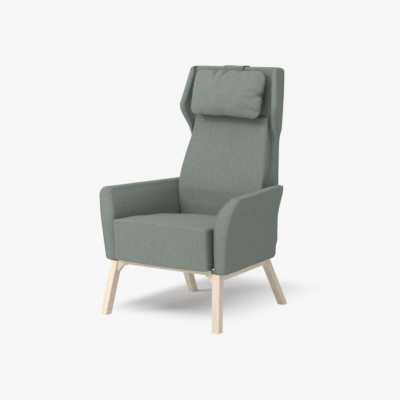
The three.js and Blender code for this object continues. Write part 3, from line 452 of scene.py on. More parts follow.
def panel(ring, counts):
    """Fills a closed ring (2 (m + k), ...) with a grid: the four-sided blend of its sides less the blend
    of its corners."""
    m, k = counts
    left, top = ring[: m + 1], ring[m : m + k + 1]
    right = ring[m + k : 2 * m + k + 1][::-1]
    bottom = np.concatenate([ring[2 * m + k :], ring[:1]])[::-1]
    s, t = np.linspace(0, 1, m + 1)[:, None, None], np.linspace(0, 1, k + 1)[None, :, None]
    sides = mix(left[:, None], right[:, None], t) + mix(bottom[None], top[None], s)
    ends = mix(mix(bottom[0], bottom[-1], t), mix(top[0], top[-1], t), s)
    return sides - ends


# Materials


class Socket:
    """A node's output that takes part in sums: an expression on it adds the Math nodes."""

    def __init__(self, nodes, output):
        self.nodes, self.output = nodes, output

    def sum(self, operation, *values):
        """One Math node on the values."""
        return self.nodes.node("ShaderNodeMath", {"operation": operation}, dict(enumerate(values)))

    def __add__(self, other):
        return self.sum("ADD", self, other)

    def __sub__(self, other):
        return self.sum("SUBTRACT", self, other)

    def __rsub__(self, other):
        return self.sum("SUBTRACT", other, self)

    def __mul__(self, other):
        return self.sum("MULTIPLY", self, other)

    __radd__ = __add__
    __rmul__ = __mul__

    def larger(self, other):
        """The larger of the two."""
        return self.sum("MAXIMUM", self, other)


class Nodes:
    """A node tree. node() adds any node: its settings first, then the values or links of its sockets."""

    def __init__(self, owner):
        owner.use_nodes = True
        self.tree = owner.node_tree
        self.tree.nodes.clear()

    def node(self, kind, settings=None, inputs=None, output=0):
        made = self.tree.nodes.new(kind)
        for key, value in (settings or {}).items():
            setattr(made, key, value)
        for key, value in (inputs or {}).items():
            if isinstance(value, Socket):
                self.tree.links.new(value.output, made.inputs[key])
            else:
                made.inputs[key].default_value = value
        return Socket(self, made.outputs[output]) if made.outputs else made

    def ray(self, kind):
        """1 for a ray of this kind, 0 for any other."""
        return self.node("ShaderNodeLightPath", output=f"Is {kind} Ray")


class Finish(Nodes):
    """One node material."""

    def __init__(self, name):
        self.material = bpy.data.materials.new(name)
        super().__init__(self.material)

    def place(self, turn=(0, 0, 0), stretch=(1, 1, 1)):
        """Object coordinates, turned and stretched."""
        where = self.node("ShaderNodeTexCoord", output="Object")
        return self.node("ShaderNodeMapping", {"vector_type": "TEXTURE"}, {0: where, 2: turn, 3: stretch})

    def axis(self, name):
        """One of the object coordinates X, Y and Z."""
        where = self.node("ShaderNodeTexCoord", output="Object")
        return self.node("ShaderNodeSeparateXYZ", {}, {0: where}, output=name)

    def noise(self, where, scale, detail=3.0, roughness=0.5):
        """Even noise with `scale` features to the metre."""
        return self.node("ShaderNodeTexNoise", {},
                         {"Vector": where, "Scale": scale, "Detail": detail, "Roughness": roughness})

    def wave(self, where, scale, axis, profile="SIN", **inputs):
        """Stripes across one axis; inputs are the texture's other sockets, named with _ for a space."""
        return self.node("ShaderNodeTexWave", {"bands_direction": axis, "wave_profile": profile},
                         {"Vector": where, "Scale": scale, **spaced(inputs)})

    def between(self, value, low, high, to_low=0.0, to_high=1.0):
        """Carries value from low..high to to_low..to_high, with a soft start and end."""
        return self.node("ShaderNodeMapRange", {"interpolation_type": "SMOOTHSTEP"},
                         {0: value, 1: low, 2: high, 3: to_low, 4: to_high})

    def blend(self, share, first, second):
        """The first colour, and share of the second one over it."""
        return self.node("ShaderNodeMix", {"data_type": "RGBA"}, {0: share, 6: first, 7: second}, output=2)

    def bump(self, height, distance, strength):
        """A normal from a height of `distance` metres."""
        return self.node("ShaderNodeBump", {},
                         {"Height": height, "Distance": distance, "Strength": strength})

    def surface(self, **inputs):
        """The last nodes: one Principled surface, whose sockets are named with _ for a space."""
        shader = self.node("ShaderNodeBsdfPrincipled", {}, spaced(inputs))
        self.node("ShaderNodeOutputMaterial", {}, {"Surface": shader})
        return self.material


def spaced(inputs):
    """Socket names with their spaces back."""
    return {name.replace("_", " "): value for name, value in inputs.items()}


def rgba(colour, gain=1.0):
    """A colour as four numbers, times a gain."""
    return (*[min(1.0, c * gain) for c in colour], 1.0)


def warmed(colour, red, green, blue):
    """A colour with a gain of its own for each of red, green and blue."""
    return rgba((colour[0] * red, colour[1] * green, colour[2] * blue))


def wool_felt(colour):
    """Felted wool: mixed light and dark fibres, uneven dye at two sizes, soft broad patches, a fine nap and
    painted shade that darkens the sewn lines."""
    f = Finish("wool_felt")
    at = f.place()
    fibres = f.noise(at, 1500.0, detail=2.0, roughness=0.6)
    strands = f.noise(f.place((0.3, 0.5, 0.2), (1, 1, 5)), 900.0, detail=1.0)
    nap = f.noise(at, 420.0, roughness=0.6)
    dye = f.noise(at, 90.0, detail=2.0) * 0.5 + f.noise(at, 175.0, detail=2.0) * 0.5
    patches = f.noise(at, 14.0, detail=2.0)
    sewn = f.node("ShaderNodeAttribute", {"attribute_name": "seam"}, output="Fac")
    shade = f.blend(f.between(fibres, 0.30, 0.70), rgba(colour, 0.88), rgba(colour, 1.12))
    shade = f.blend(f.between(strands, 0.62, 0.72, to_high=0.35), shade, rgba(colour, 1.7))
    shade = f.blend(f.between(nap, 0.30, 0.70, to_high=0.6), shade, rgba(colour, 1.02))
    shade = f.blend(0.5, shade, f.blend(f.between(dye, 0.36, 0.64), rgba(colour, 0.80), rgba(colour, 1.20)))
    shade = f.blend(f.between(patches, 0.30, 0.72, to_high=0.10), shade, rgba(colour, 1.25))
    # Painted shade: the sewn grooves are darkened towards a quarter of the wool's colour
    shade = f.blend(sewn * 0.55, shade, rgba(colour, 0.25))
    height = fibres * 0.4 + nap * 0.4 + dye * 0.9
    return f.surface(Base_Color=shade, Roughness=f.between(nap, 0.25, 0.75, 0.86, 0.97),
                     Normal=f.bump(height, 0.0009, 0.5), Sheen_Weight=0.15, Sheen_Roughness=0.55,
                     Sheen_Tint=rgba(colour, 3.2), Specular_IOR_Level=0.18)


def clear_birch(name, colour, turn):
    """Clear-finished birch: pale early wood with long soft figure, fine pores along the grain and a few
    darker flecks. The grain runs along Z before the turn."""
    f = Finish(name)
    figure_at, pore_at = f.place(turn, (1, 1, 16)), f.place(turn, (1, 1, 40))
    figure = f.noise(figure_at, 46.0, roughness=0.55)
    rings = f.wave(figure_at, 26.0, "X", Distortion=7.0, Detail=2.0, Detail_Scale=1.2)
    pores = f.noise(pore_at, 1400.0, detail=2.0, roughness=0.6)
    flecks = f.noise(pore_at, 260.0, detail=1.0)
    shade = f.blend(f.between(figure, 0.32, 0.70), rgba(colour, 0.90), rgba(colour, 1.05))
    shade = f.blend(f.between(rings, 0.35, 0.95, to_high=0.30), shade, warmed(colour, 0.93, 0.88, 0.80))
    shade = f.blend(f.between(pores, 0.50, 0.80, to_high=0.35), shade, warmed(colour, 0.82, 0.74, 0.62))
    shade = f.blend(f.between(flecks, 0.66, 0.74, to_high=0.28), shade, warmed(colour, 0.72, 0.60, 0.46))
    return f.surface(Base_Color=shade, Roughness=f.between(pores, 0.3, 0.8, 0.42, 0.58),
                     Normal=f.bump(pores, 0.0002, 0.35), Coat_Weight=0.12, Coat_Roughness=0.35)


def plain_finish(name, colour, fine, broad, spread, rough, depth, metallic=0.0):
    """A plain technical surface: a fine and a broad noise vary the colour by `spread`, and the fine one
    the roughness, with a small bump."""
    f = Finish(name)
    at = f.place()
    small, large = f.noise(at, fine), f.noise(at, broad, detail=2.0)
    shade = f.blend(f.between(small, 0.3, 0.7), rgba(colour, 1 - spread), rgba(colour, 1 + spread))
    shade = f.blend(f.between(large, 0.35, 0.65, to_high=0.3), shade, rgba(colour, 1 - 1.5 * spread))
    return f.surface(Base_Color=shade, Roughness=f.between(small, 0.3, 0.7, *rough), Metallic=metallic,
                     Normal=f.bump(small, depth, 0.5))


def veneer(name, colour):
    """Plywood: thin layers that show as stripes on cut edges, with long grain on the faces."""
    f = Finish(name)
    grain = f.noise(f.place(stretch=(1, 1, 14)), 120.0)
    layers = f.wave(f.place(), 110.0, "Y", "TRI", Distortion=0.6, Detail=1.0)
    shade = f.blend(f.between(grain, 0.3, 0.7), rgba(colour, 0.82), rgba(colour, 1.12))
    shade = f.blend(f.between(layers, 0.4, 0.9, to_high=0.45), shade, rgba(colour, 0.55))
    return f.surface(Base_Color=shade, Roughness=f.between(grain, 0.3, 0.7, 0.6, 0.8),
                     Normal=f.bump(grain, 0.0003, 0.4))


# A wave texture of scale 1 repeats at this distance
WAVE_REPEAT = math.tau / 20


def woven(name, colour, pitch, depth):
    """A plain weave: two crossing waves, `pitch` apart, on object coordinates."""
    f = Finish(name)
    at = f.place()
    weave = f.wave(at, WAVE_REPEAT / pitch, "X") * 0.5 + f.wave(at, WAVE_REPEAT / pitch, "Y") * 0.5
    wear = f.noise(at, 60.0, detail=2.0)
    shade = f.blend(f.between(weave, 0.2, 0.8), rgba(colour, 0.6), rgba(colour, 1.5))
    shade = f.blend(f.between(wear, 0.4, 0.7, to_high=0.3), shade, rgba(colour, 1.9))
    return f.surface(Base_Color=shade, Roughness=f.between(weave, 0.2, 0.8, 0.95, 0.75),
                     Normal=f.bump(weave, depth, 0.6))


def upholster(made, body=None):
    """Covers a new piece in the one wool finish, and ties it to the body that it moves with, when one is
    given."""
    wool = bpy.data.materials.get("wool_felt") or wool_felt(bpy.context.scene.lounge_colours.wool)
    made.data.materials.clear()
    made.data.materials.append(wool)
    if body:
        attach(made, body)


# Arms and seat: an outline carried across a thickness


def sided_outline(points, counts):
    """A closed polyline (n, 2), resampled as four sides that meet at its four corners, nearest to the
    bounds' corners. It starts at the lower front and runs up, back, down and forward."""
    low, high = points.min(axis=0), points.max(axis=0)
    wanted = [(low[0], low[1]), (low[0], high[1]), (high[0], high[1]), (high[0], low[1])]
    found = [int(np.argmin(((points - np.array(corner)) ** 2).sum(axis=1))) for corner in wanted]
    ring = np.roll(points, -found[0], axis=0)
    at = [(k - found[0]) % len(points) for k in found] + [len(points)]
    ring = np.concatenate([ring, ring[:1]])
    sides = [along_curve(ring[a : b + 1], n)[:-1] for a, b, n in zip(at[:-1], at[1:], counts * 2)]
    return np.concatenate(sides)


def soft_corner_outline(points, rounds):
    """Cuts the corners of a closed polyline (n, 2) at a quarter from each end, `rounds` times, which
    tends to a smooth curve."""
    for _ in range(rounds):
        after = np.roll(points, -1, axis=0)
        points = np.stack([mix(points, after, 0.25), mix(points, after, 0.75)], axis=1).reshape(-1, 2)
    return points


def middle_and_half(ring):
    """The middle and the half size of a ring's bounds."""
    low, high = ring.min(axis=0), ring.max(axis=0)
    return (low + high) / 2, (high - low) / 2


def drawn_in(ring, inset):
    """The ring (n, 2), with its bounds drawn in by inset on every side."""
    middle, half = middle_and_half(ring)
    return middle + (ring - middle) * (1 - inset / half)


def closed(rows):
    """Rings stacked as a grid whose last column is the first one again."""
    grid = np.stack(rows)
    return np.concatenate([grid, grid[:, :1]], axis=1)


def swelling(counts, power):
    """How a face of counts steps swells: (arch(s) arch(t)) to a power, which is 0 along its edges."""
    s, t = np.linspace(0, 1, counts[0] + 1)[:, None], np.linspace(0, 1, counts[1] + 1)[None, :]
    return (arch(s) * arch(t)) ** power


# Columns of the arm's table: share of the height, then share of the front sweep, the rear sweep, the
# outward lean, the thickness in front and the thickness behind
HEIGHT, FRONT, REAR, LEAN, THICK_FRONT, THICK_REAR = range(6)
ARM_SHARES = np.array([
    (0, 0.4, 1, 0, 0.77, 0.77), (0.011, 0.27, 0.84, 0.004, 0.775, 0.775),
    (0.034, 0.195, 0.72, 0.013, 0.785, 0.785), (0.093, 0.165, 0.706, 0.03, 0.79, 0.785),
    (0.18, 0.113, 0.643, 0.078, 0.8, 0.79), (0.3, 0.07, 0.632, 0.144, 0.84, 0.8),
    (0.415, 0.027, 0.625, 0.196, 0.86, 0.8), (0.532, 0, 0.59, 0.272, 0.9, 0.8),
    (0.62, 0.014, 0.523, 0.357, 0.965, 0.78), (0.68, 0.05, 0.455, 0.439, 1, 0.78),
    (0.737, 0.095, 0.352, 0.517, 0.99, 0.775), (0.795, 0.16, 0.224, 0.609, 0.95, 0.76),
    (0.854, 0.275, 0.126, 0.756, 0.91, 0.76), (0.883, 0.33, 0.07, 0.828, 0.875, 0.75),
    (0.912, 0.4, 0.035, 0.893, 0.815, 0.74), (0.941, 0.502, 0, 0.943, 0.74, 0.69),
    (0.971, 0.683, 0, 0.98, 0.68, 0.65), (0.99, 0.86, 0.035, 0.995, 0.655, 0.63),
    (1, 1, 0.14, 1, 0.65, 0.62)])
# Where the top and the foot of the outline have points, as shares of their run
ARM_TOP_SHARES, ARM_FOOT_SHARES = (0.06, 0.94), (0.04, 0.96)
ARM_CORNER_ROUNDS = 4
# Steps up the sides and along the top of an outline, round an edge, and across the arm's band and the seat
ARM_STEPS, SEAT_STEPS = (84, 96), (44, 100)
ARM_OUTER_STEPS, ARM_INNER_STEPS, SEAT_EDGE_STEPS = 6, 7, 9
ARM_BAND_STEPS, SEAT_ACROSS_STEPS = 16, 90
# Distances of the rows beside a soft edge; the sewn line lies among them
ARM_ROWS, ARM_SEWN = np.array([0.0007, 0.0014, 0.0022, 0.0032, 0.0050]), 0.0018
SEAT_ROWS, SEAT_SEWN = np.array([0.0, 0.0009, 0.0017, 0.0026, 0.0040]), 0.0017
SEWN_WIDTH = 0.0008
# The seam between the front and the top of the arm's band: steps past the outline's corner, depth and width
CROSS_SEAM_STEPS, CROSS_SEAM_DEPTH, CROSS_SEAM_WIDTH = 8, 0.7, 1.0
# Where the arm's inner part ends in front of the shell: how the step sets in, over what depth, and how the
# part behind it is drawn forward
STEP_LEAD, STEP_WIDTH, STEP_REACH, STEP_LEAST = 0.004, 0.006, 0.07, 0.01
BAND_CROWN_POWER, ARM_SWELL_POWER, SEAT_SWELL_POWER, SEAT_PUFF_POWER = 0.8, 0.5, 0.6, 0.6
# How much of the inner face's swell is gone at the rear
INNER_SWELL_FADE = 0.9


def arm_outline(s):
    """The arm's side view (y, z) as a closed line: the front and rear edges follow the share tables of
    the height."""
    height = mix(s.foot_z, s.top_z, ARM_SHARES[:, HEIGHT])
    forward = np.stack([s.front_y + s.front_sweep * ARM_SHARES[:, FRONT], height], axis=1)
    back = np.stack([s.rear_y - s.rear_sweep * ARM_SHARES[:, REAR], height], axis=1)
    top = [mix(forward[-1], back[-1], share) for share in ARM_TOP_SHARES]
    foot = [mix(back[0], forward[0], share) for share in ARM_FOOT_SHARES]
    return np.concatenate([forward, top, back[::-1], foot])


def build_arm(side):
    """One arm: its side outline is carried across the thickness, with a crisp sewn edge on both sides of
    a crowned band. x = outer side at that height, less the depth into the arm; each ring of the outline
    is drawn in towards the middle by its inset."""
    s = bpy.context.scene.lounge_arm
    ring = sided_outline(soft_corner_outline(arm_outline(s), ARM_CORNER_ROUNDS), ARM_STEPS)
    cross_at = ARM_STEPS[0] + CROSS_SEAM_STEPS
    cross = CROSS_SEAM_DEPTH * bell(np.arange(len(ring)), cross_at, CROSS_SEAM_WIDTH)

    def placed(flat, depth_share, depth):
        """Plan and height of flat points: depth_share of the thickness, and depth more, into the arm.
        The part deeper than rear_depth ends in front of the shell."""
        y, z = flat[..., 0], flat[..., 1]
        at = {column: smooth_table((z - s.foot_z) / (s.top_z - s.foot_z), ARM_SHARES[:, [HEIGHT, column]])
              for column in (REAR, LEAN, THICK_FRONT, THICK_REAR)}
        rearward = (y - FRAME_FRONT) / (s.rear_y - FRAME_FRONT)
        deep = depth_share * s.thickness * mix(at[THICK_FRONT], at[THICK_REAR], rearward) + depth
        step = eased((deep - s.rear_depth + STEP_LEAD) / STEP_WIDTH)
        rear, start = s.rear_y - s.rear_sweep * at[REAR], s.inner_rear_y - STEP_REACH
        pushed = eased((y - start) / np.maximum(rear - start, STEP_LEAST))
        y = y - np.maximum(rear - s.inner_rear_y, 0) * step * pushed
        rearward = (y - FRAME_FRONT) / (s.rear_y - FRAME_FRONT)
        outer = mix(s.foot_x, s.top_x, at[LEAN] * mix(1, s.rear_lean, rearward)) - TOE * (y - FRAME_FRONT)
        return np.stack([side * (outer - deep), y, z], axis=-1)

    rows, seams = [], []

    def add(inset, depth_share, depth, seam):
        rows.append(placed(drawn_in(ring, inset), depth_share, depth))
        seams.append(seam * np.ones(len(ring)))

    sewn = bell(ARM_ROWS, ARM_SEWN, SEWN_WIDTH)
    edge = ARM_ROWS[-1]
    for turn in np.linspace(0, QUARTER, ARM_OUTER_STEPS):
        add(s.outer_round * (1 - math.sin(turn)), 0, s.outer_round * (1 - math.cos(turn)), 0)
    for away, seam in zip(ARM_ROWS, sewn):
        add(0, 0, s.outer_round + away, seam)
    for share in np.linspace(0, 1, ARM_BAND_STEPS)[1:-1]:
        crown = -s.band_crown * arch(share) ** BAND_CROWN_POWER
        add(crown, share, mix(s.outer_round + edge, -s.inner_round - edge, share), cross)
    for away, seam in zip(ARM_ROWS[::-1], sewn[::-1]):
        add(0, 1, -s.inner_round - away, seam)
    for turn in np.linspace(0, QUARTER, ARM_INNER_STEPS):
        add(s.inner_round * (1 - math.cos(turn)), 1, -s.inner_round * (1 - math.sin(turn)), 0)
    surface = Surface().grid(closed(rows), closed(seams))
    swell = swelling(ARM_STEPS, ARM_SWELL_POWER)
    fading = 1 - INNER_SWELL_FADE * np.linspace(0, 1, ARM_STEPS[1] + 1)[None, :]
    surface.grid(placed(panel(drawn_in(ring, s.outer_round), ARM_STEPS), 0, -s.outer_crown * swell))
    surface.grid(placed(panel(drawn_in(ring, s.inner_round), ARM_STEPS), 1, s.inner_crown * swell * fading))
    where = "left" if side > 0 else "right"
    made = surface.build(f"arm_{where}", [(0.0006, 0.12, 3 + side), (0.00025, 0.04, 13 + side)])
    upholster(made, "chair")
    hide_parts(f"arm_cover_{where}", f"arm_foam_{where}")


# The seat's side outline: how far back its top bends, how much of the fall to the back it has there, the
# cuts of its corners, and the steps of its runs and arcs
SEAT_BENDS, SEAT_FALL = (0.30, 0.75), 0.45
SEAT_BEND_CUT, SEAT_REAR_CUTS = 0.06, (0.006, 0.003)
SEAT_RUNS, SEAT_ARC = (30, 30, 30, 10, 20, 40), 9
# The front face follows the fall to the sides by this share, and less towards the middle, by this power
SEAT_FRONT_FOLLOW, SEAT_FRONT_POWER = 0.4, 8


def build_seat():
    """The seat block: its side outline is carried across the width, the sides toe in to the back, the
    top is crowned across."""
    s = bpy.context.scene.lounge_seat
    foot = (s.front_y + s.front_lean, s.bottom_z)
    bends = [mix(s.front_y, s.rear_y, share) for share in SEAT_BENDS]
    line = np.array([[foot, (s.front_y, s.top_z), (bends[0], s.top_z),
                      (bends[1], s.top_z - SEAT_FALL * s.rear_drop), (s.rear_y, s.top_z - s.rear_drop),
                      (s.rear_y, s.bottom_z), foot]])
    cuts = [s.edge_round, SEAT_BEND_CUT, SEAT_BEND_CUT, *SEAT_REAR_CUTS]
    path = rounded_path(line, cuts, SEAT_RUNS, SEAT_ARC)[0]
    ring = sided_outline(path[:-1], SEAT_STEPS)
    middle, half = middle_and_half(ring)
    round_ = s.side_round

    def placed(flat, across, inset):
        """across runs from -1 to 1 over the width less inset."""
        y, z = flat[..., 0], flat[..., 1]
        reach = s.half_width - TOE * (y - FRAME_FRONT) - inset
        top = np.clip((z - middle[1]) / half[1], 0, 1)
        front = np.clip((middle[0] - y) / half[0], 0, 1) ** SEAT_FRONT_POWER
        fall = s.crown * across**2
        return np.stack([across * reach, y + SEAT_FRONT_FOLLOW * fall * front, z - fall * top], axis=-1)

    # The front's fabric runs round the corner to a sewn line on the side
    sewn = bell(SEAT_ROWS, SEAT_SEWN, SEWN_WIDTH)
    side_rows = [(round_ + away, 0.0, seam) for away, seam in zip(SEAT_ROWS, sewn)][::-1]
    side_rows += [(round_ * (1 - math.sin(turn)), round_ * (1 - math.cos(turn)), 0.0)
                  for turn in np.linspace(0, QUARTER, SEAT_EDGE_STEPS)[1:-1]]
    shares = np.linspace(1, -1, SEAT_ACROSS_STEPS)
    puffs = -s.puff * arch((shares + 1) / 2) ** SEAT_PUFF_POWER
    rows = [placed(drawn_in(ring, inset), 1.0, depth) for inset, depth, _ in side_rows]
    rows += [placed(drawn_in(ring, puff), share, round_) for puff, share in zip(puffs, shares)]
    rows += [placed(drawn_in(ring, inset), -1.0, depth) for inset, depth, _ in side_rows[::-1]]
    side_seams = [seam for *_, seam in side_rows]
    seams = np.array(side_seams + [0.0] * SEAT_ACROSS_STEPS + side_seams[::-1])
    surface = Surface().grid(closed(rows), seams[:, None])
    face = panel(drawn_in(ring, round_ + SEAT_ROWS[-1]), SEAT_STEPS)
    swell = -s.side_swell * swelling(SEAT_STEPS, SEAT_SWELL_POWER)
    surface.grid(placed(face, 1.0, swell)).grid(placed(face, -1.0, swell))
    made = surface.build("seat", [(0.0011, 0.15, 5), (0.0004, 0.05, 6)])
    upholster(made, "chair")
    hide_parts("seat_cover", "seat_foam")


# Shell and pad: plan sections carried up


def drawn_together(inner, outer, inset, limit, outer_share=1.0):
    """Draws the front and the rear half of each section together by inset (levels), at most limit of
    their distance, which rounds the ends over. The rear half comes outer_share of the way."""
    mate = outer[:, ::-1]
    gap = mate - inner
    wide = np.linalg.norm(gap, axis=-1, keepdims=True)
    pull = np.minimum(inset[:, None, None], limit * wide) * gap / np.maximum(wide, TINY)
    return inner + pull, (mate - outer_share * pull)[:, ::-1]


def carried_up(inner, outer, heights, seam_column, seam_width, cap_steps, cap_rises=(0.0, 0.0)):
    """The surface through sections at the given heights, with its mirror image: the front half of each
    section, then the rear half, a sewn line up one column, and a cap at the lower and the upper end that
    rises in the middle."""
    path = np.concatenate([inner, outer[:, 1:]], axis=1)
    points = np.concatenate([path, np.broadcast_to(heights[:, None, None], (*path.shape[:2], 1))], axis=2)
    surface = Surface().grid(points, bell(np.arange(path.shape[1]), seam_column, seam_width)[None, :])
    turn = inner.shape[1]
    share = np.linspace(0, 1, cap_steps)[:, None, None]
    for level, rise in zip((0, -1), cap_rises):
        cap = mix(points[level, :turn][None], points[level, turn - 1 :][::-1][None], share)
        cap[..., 2] += rise * arch(share[..., 0])
        surface.grid(cap)
    return surface.mirrored()


# Side views of the shell: share of the height, then share of the lean
SHELL_FRONT_SHARES = [(0, 0), (0.36, 0), (0.408, 0.22), (0.48, 0.5), (0.552, 0.78), (0.6, 0.93), (1, 1)]
SHELL_REAR_SHARES = [(0, 0), (0.36, 0.15), (0.552, 0.17), (0.6, 0.26), (0.977, 0.97), (1, 1)]
# Front view of the shell: share of the height, then share of the foot's step and of the wings' bulge
SHELL_FOOT_SHARES = [(0, 0), (0.02, 0.55), (0.05, 1), (1, 1)]
SHELL_BULGE_SHARES = [(0, 0), (0.6, 0), (0.68, 1), (0.92, 1), (0.977, 0.8), (1, 0)]
# The wing's lower front edge: share of the way up to the tip, then share of the way forward
WING_REACH_SHARES = [(0, 0), (0.28, 0.25), (0.46, 0.48), (0.65, 0.73), (0.83, 0.93), (1, 1)]
# The wing's wall: its share of the wing's reach while that is short, its least thickness, and the least
# forward run
WALL_SHARE, WALL_LEAST, WALL_RUN_LEAST = 1.2, 0.004, -0.2
# A section of the shell: the cuts at the hollow, the band's two edges and the rear edge, and the steps
# between them
SHELL_CUTS, SHELL_RUNS, SHELL_ARC = (0.050, 0.018, 0.010, 0.010), (30, 14, 8, 14, 30), 8
SHELL_TURN = SHELL_RUNS[0] + SHELL_RUNS[1] + 2 * SHELL_ARC + SHELL_RUNS[2] // 2
SHELL_REAR_EDGE = SHELL_TURN + SHELL_RUNS[2] // 2 + SHELL_ARC + SHELL_RUNS[3] + SHELL_ARC // 2
SHELL_LEVELS, SHELL_END_STEPS, SHELL_CAP_STEPS, SHELL_SEAM = (3, 72, 12, 22, 14, 26, 12), 7, 7, 1.0
SHELL_FOOT_EDGE, SHELL_CAP_RISES, SHELL_DRAW_LIMIT = 0.004, (-0.0004, 0.0015), 0.49
# The levels lie closer below and above the wing's foot, round its tip and near the top, within these
WING_FOOT_BAND, WING_TIP_BAND, SHELL_TOP_BAND = (0.01, 0.03), 0.02, 0.03
# The rear panel swells by this, where the outer face lies within this of its plane
REAR_SWELL, REAR_SWELL_DEPTH = 0.004, 0.02


def up_share(s, z):
    """Share of the way from a piece's lower to its upper end."""
    return (z - s.bottom_z) / (s.top_z - s.bottom_z)


def shell_front(s, z):
    """The shell's front face in side view."""
    return s.front_y + s.front_lean * smooth_table(up_share(s, z), SHELL_FRONT_SHARES)


def shell_rear(s, z):
    """The shell's rear face in side view."""
    return s.rear_y + s.rear_lean * smooth_table(up_share(s, z), SHELL_REAR_SHARES)


def shell_half(s, z):
    """Half of the rear panel's width: cut in at the lower corners, bulging behind the wings, round at
    the top corners."""
    base = mix(s.foot_half_width, s.half_width, smooth_table(up_share(s, z), SHELL_FOOT_SHARES))
    bulge = s.wing_bulge * smooth_table(up_share(s, z), SHELL_BULGE_SHARES)
    return base + bulge - top_corner(s, z)


def top_corner(s, z):
    """How far the outline of the top's corners is drawn in."""
    return s.top_corner * rounded_end(np.clip((z - s.top_z + s.top_corner) / s.top_corner, 0, 1))


def wing_corner(s, z):
    """The wing's outer front corner (x, y): forward from its foot to the rounded tip, and back to the
    top."""
    foot_z = np.array([s.wing_foot_z])
    foot = np.array([shell_half(s, foot_z)[0], shell_front(s, foot_z)[0]])
    tip, top = np.array([s.wing_tip_x, s.wing_tip_y]), np.array([s.half_width, s.wing_top_y])
    lower = smooth_table((z - s.wing_foot_z) / (s.wing_tip_z - s.wing_foot_z), WING_REACH_SHARES)[:, None]
    upper = np.clip((z - s.wing_tip_z) / (s.top_z - s.wing_tip_z), 0, 1)[:, None]
    corner = np.where(z[:, None] <= s.wing_tip_z, mix(foot, tip, lower), mix(tip, top, upper))
    corner[:, 0] -= top_corner(s, z)
    plain = np.stack([shell_half(s, z), shell_front(s, z)], axis=1)
    return np.where(z[:, None] <= s.wing_foot_z, plain, corner)


def build_shell():
    """The back shell with its wings: at each height a plan section runs from the front middle into the
    wing's hollow, round its front band, along the outer side and across the rear; the sections are
    carried up, and the ends round over and close."""
    s = bpy.context.scene.lounge_shell
    round_ = s.edge_round
    z = stops([s.bottom_z, s.bottom_z + SHELL_FOOT_EDGE,
               s.wing_foot_z - WING_FOOT_BAND[0], s.wing_foot_z + WING_FOOT_BAND[1],
               s.wing_tip_z - WING_TIP_BAND, s.wing_tip_z + WING_TIP_BAND,
               s.top_z - SHELL_TOP_BAND, s.top_z - round_], SHELL_LEVELS)
    ends = np.linspace(0, QUARTER, SHELL_END_STEPS)[1:]
    lift = np.concatenate([z, s.top_z - round_ + round_ * np.sin(ends)])
    foot_inset = SHELL_FOOT_EDGE * (1 - np.clip((z - s.bottom_z) / SHELL_FOOT_EDGE, 0, 1)) ** 2
    inset = np.concatenate([foot_inset, round_ * (1 - np.cos(ends))])
    at = np.minimum(lift, s.top_z)
    corner = wing_corner(s, at)
    half, front, rear = shell_half(s, at), shell_front(s, at), shell_rear(s, at)
    back = np.stack([half, rear], axis=1)
    along = corner - back
    along /= np.linalg.norm(along, axis=1, keepdims=True)
    inward = np.stack([along[:, 1], -along[:, 0]], axis=1)
    inward *= np.sign((inward * np.array([-1.0, 0.0])).sum(axis=1))[:, None]
    forward = front - corner[:, 1]
    wall = np.minimum(s.wing_wall, np.maximum(forward * WALL_SHARE, WALL_LEAST) + WALL_LEAST)
    inner_tip = corner + inward * wall[:, None]
    inner_tip[:, 1] = np.minimum(inner_tip[:, 1], front)
    reach = (front - inner_tip[:, 1]) / np.minimum(along[:, 1], WALL_RUN_LEAST)
    hollow = inner_tip + along * reach[:, None]
    hollow[:, 1] = front
    nil = np.zeros(len(at))
    section = [np.stack([nil, front], 1), hollow, inner_tip, corner, back, np.stack([nil, rear], 1)]
    whole = rounded_path(np.stack(section, axis=1), SHELL_CUTS, SHELL_RUNS, SHELL_ARC)
    inner, outer = drawn_together(whole[:, : SHELL_TURN + 1], whole[:, SHELL_TURN:], inset, SHELL_DRAW_LIMIT)
    # The rear panel swells a little between its edges
    across = np.clip(outer[..., 0] / half[:, None], 0, 1)
    rise = arch(np.clip(up_share(s, lift), 0, 1))[:, None] ** 0.5
    on_rear = outer[..., 1] > (rear - REAR_SWELL_DEPTH)[:, None]
    outer[..., 1] += REAR_SWELL * (1 - across**2) * rise * on_rear
    surface = carried_up(inner, outer, lift, SHELL_REAR_EDGE, SHELL_SEAM, SHELL_CAP_STEPS, SHELL_CAP_RISES)
    made = surface.build("back_shell", [(0.0007, 0.17, 8), (0.0003, 0.05, 9)])
    upholster(made, "chair")
    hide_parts("shell_cover", "shell_foam", "wing_foam_left", "wing_foam_right")


# Columns of the pad's table: share of the height, then share of the depth travel, the half width and the
# edge round
PAD_SHARES = np.array([
    (0, 0.06, 0.91, 0.5), (0.16, 0.06, 0.94, 0.5), (0.21, 0.045, 0.945, 0.5), (0.29, 0, 0.967, 0.5),
    (0.4, 0, 0.99, 0.5), (0.475, 0.08, 1, 0.5), (0.55, 0.205, 1, 0.65), (0.67, 0.44, 0.9655, 1),
    (0.82, 0.735, 0.91, 1), (0.95, 0.96, 0.869, 1), (1, 1.03, 0.853, 1)])
PAD_LEVELS, PAD_END_STEPS, PAD_CAP_STEPS, PAD_SEAM = 92, 7, 5, 0.7
PAD_FRONT_RUNS, PAD_REAR_RUNS, PAD_ARC = (34, 8), (8, 34), 12
# How far the pad presses into the shell, where its side edge lies between its faces, and its heel
PAD_PRESS, PAD_SIDE_SHARE, PAD_HEEL_INSET, PAD_HEEL_CUT = 0.002, 0.55, 0.003, 0.004
# The edge's cut over its radius, and the most of the thickness that it takes
PAD_CUT_SHARE, PAD_CUT_LIMIT = 1.35, 0.5
PAD_DRAW_LIMIT, PAD_REAR_DRAW, PAD_SWELL = 0.45, 0.3, 0.003


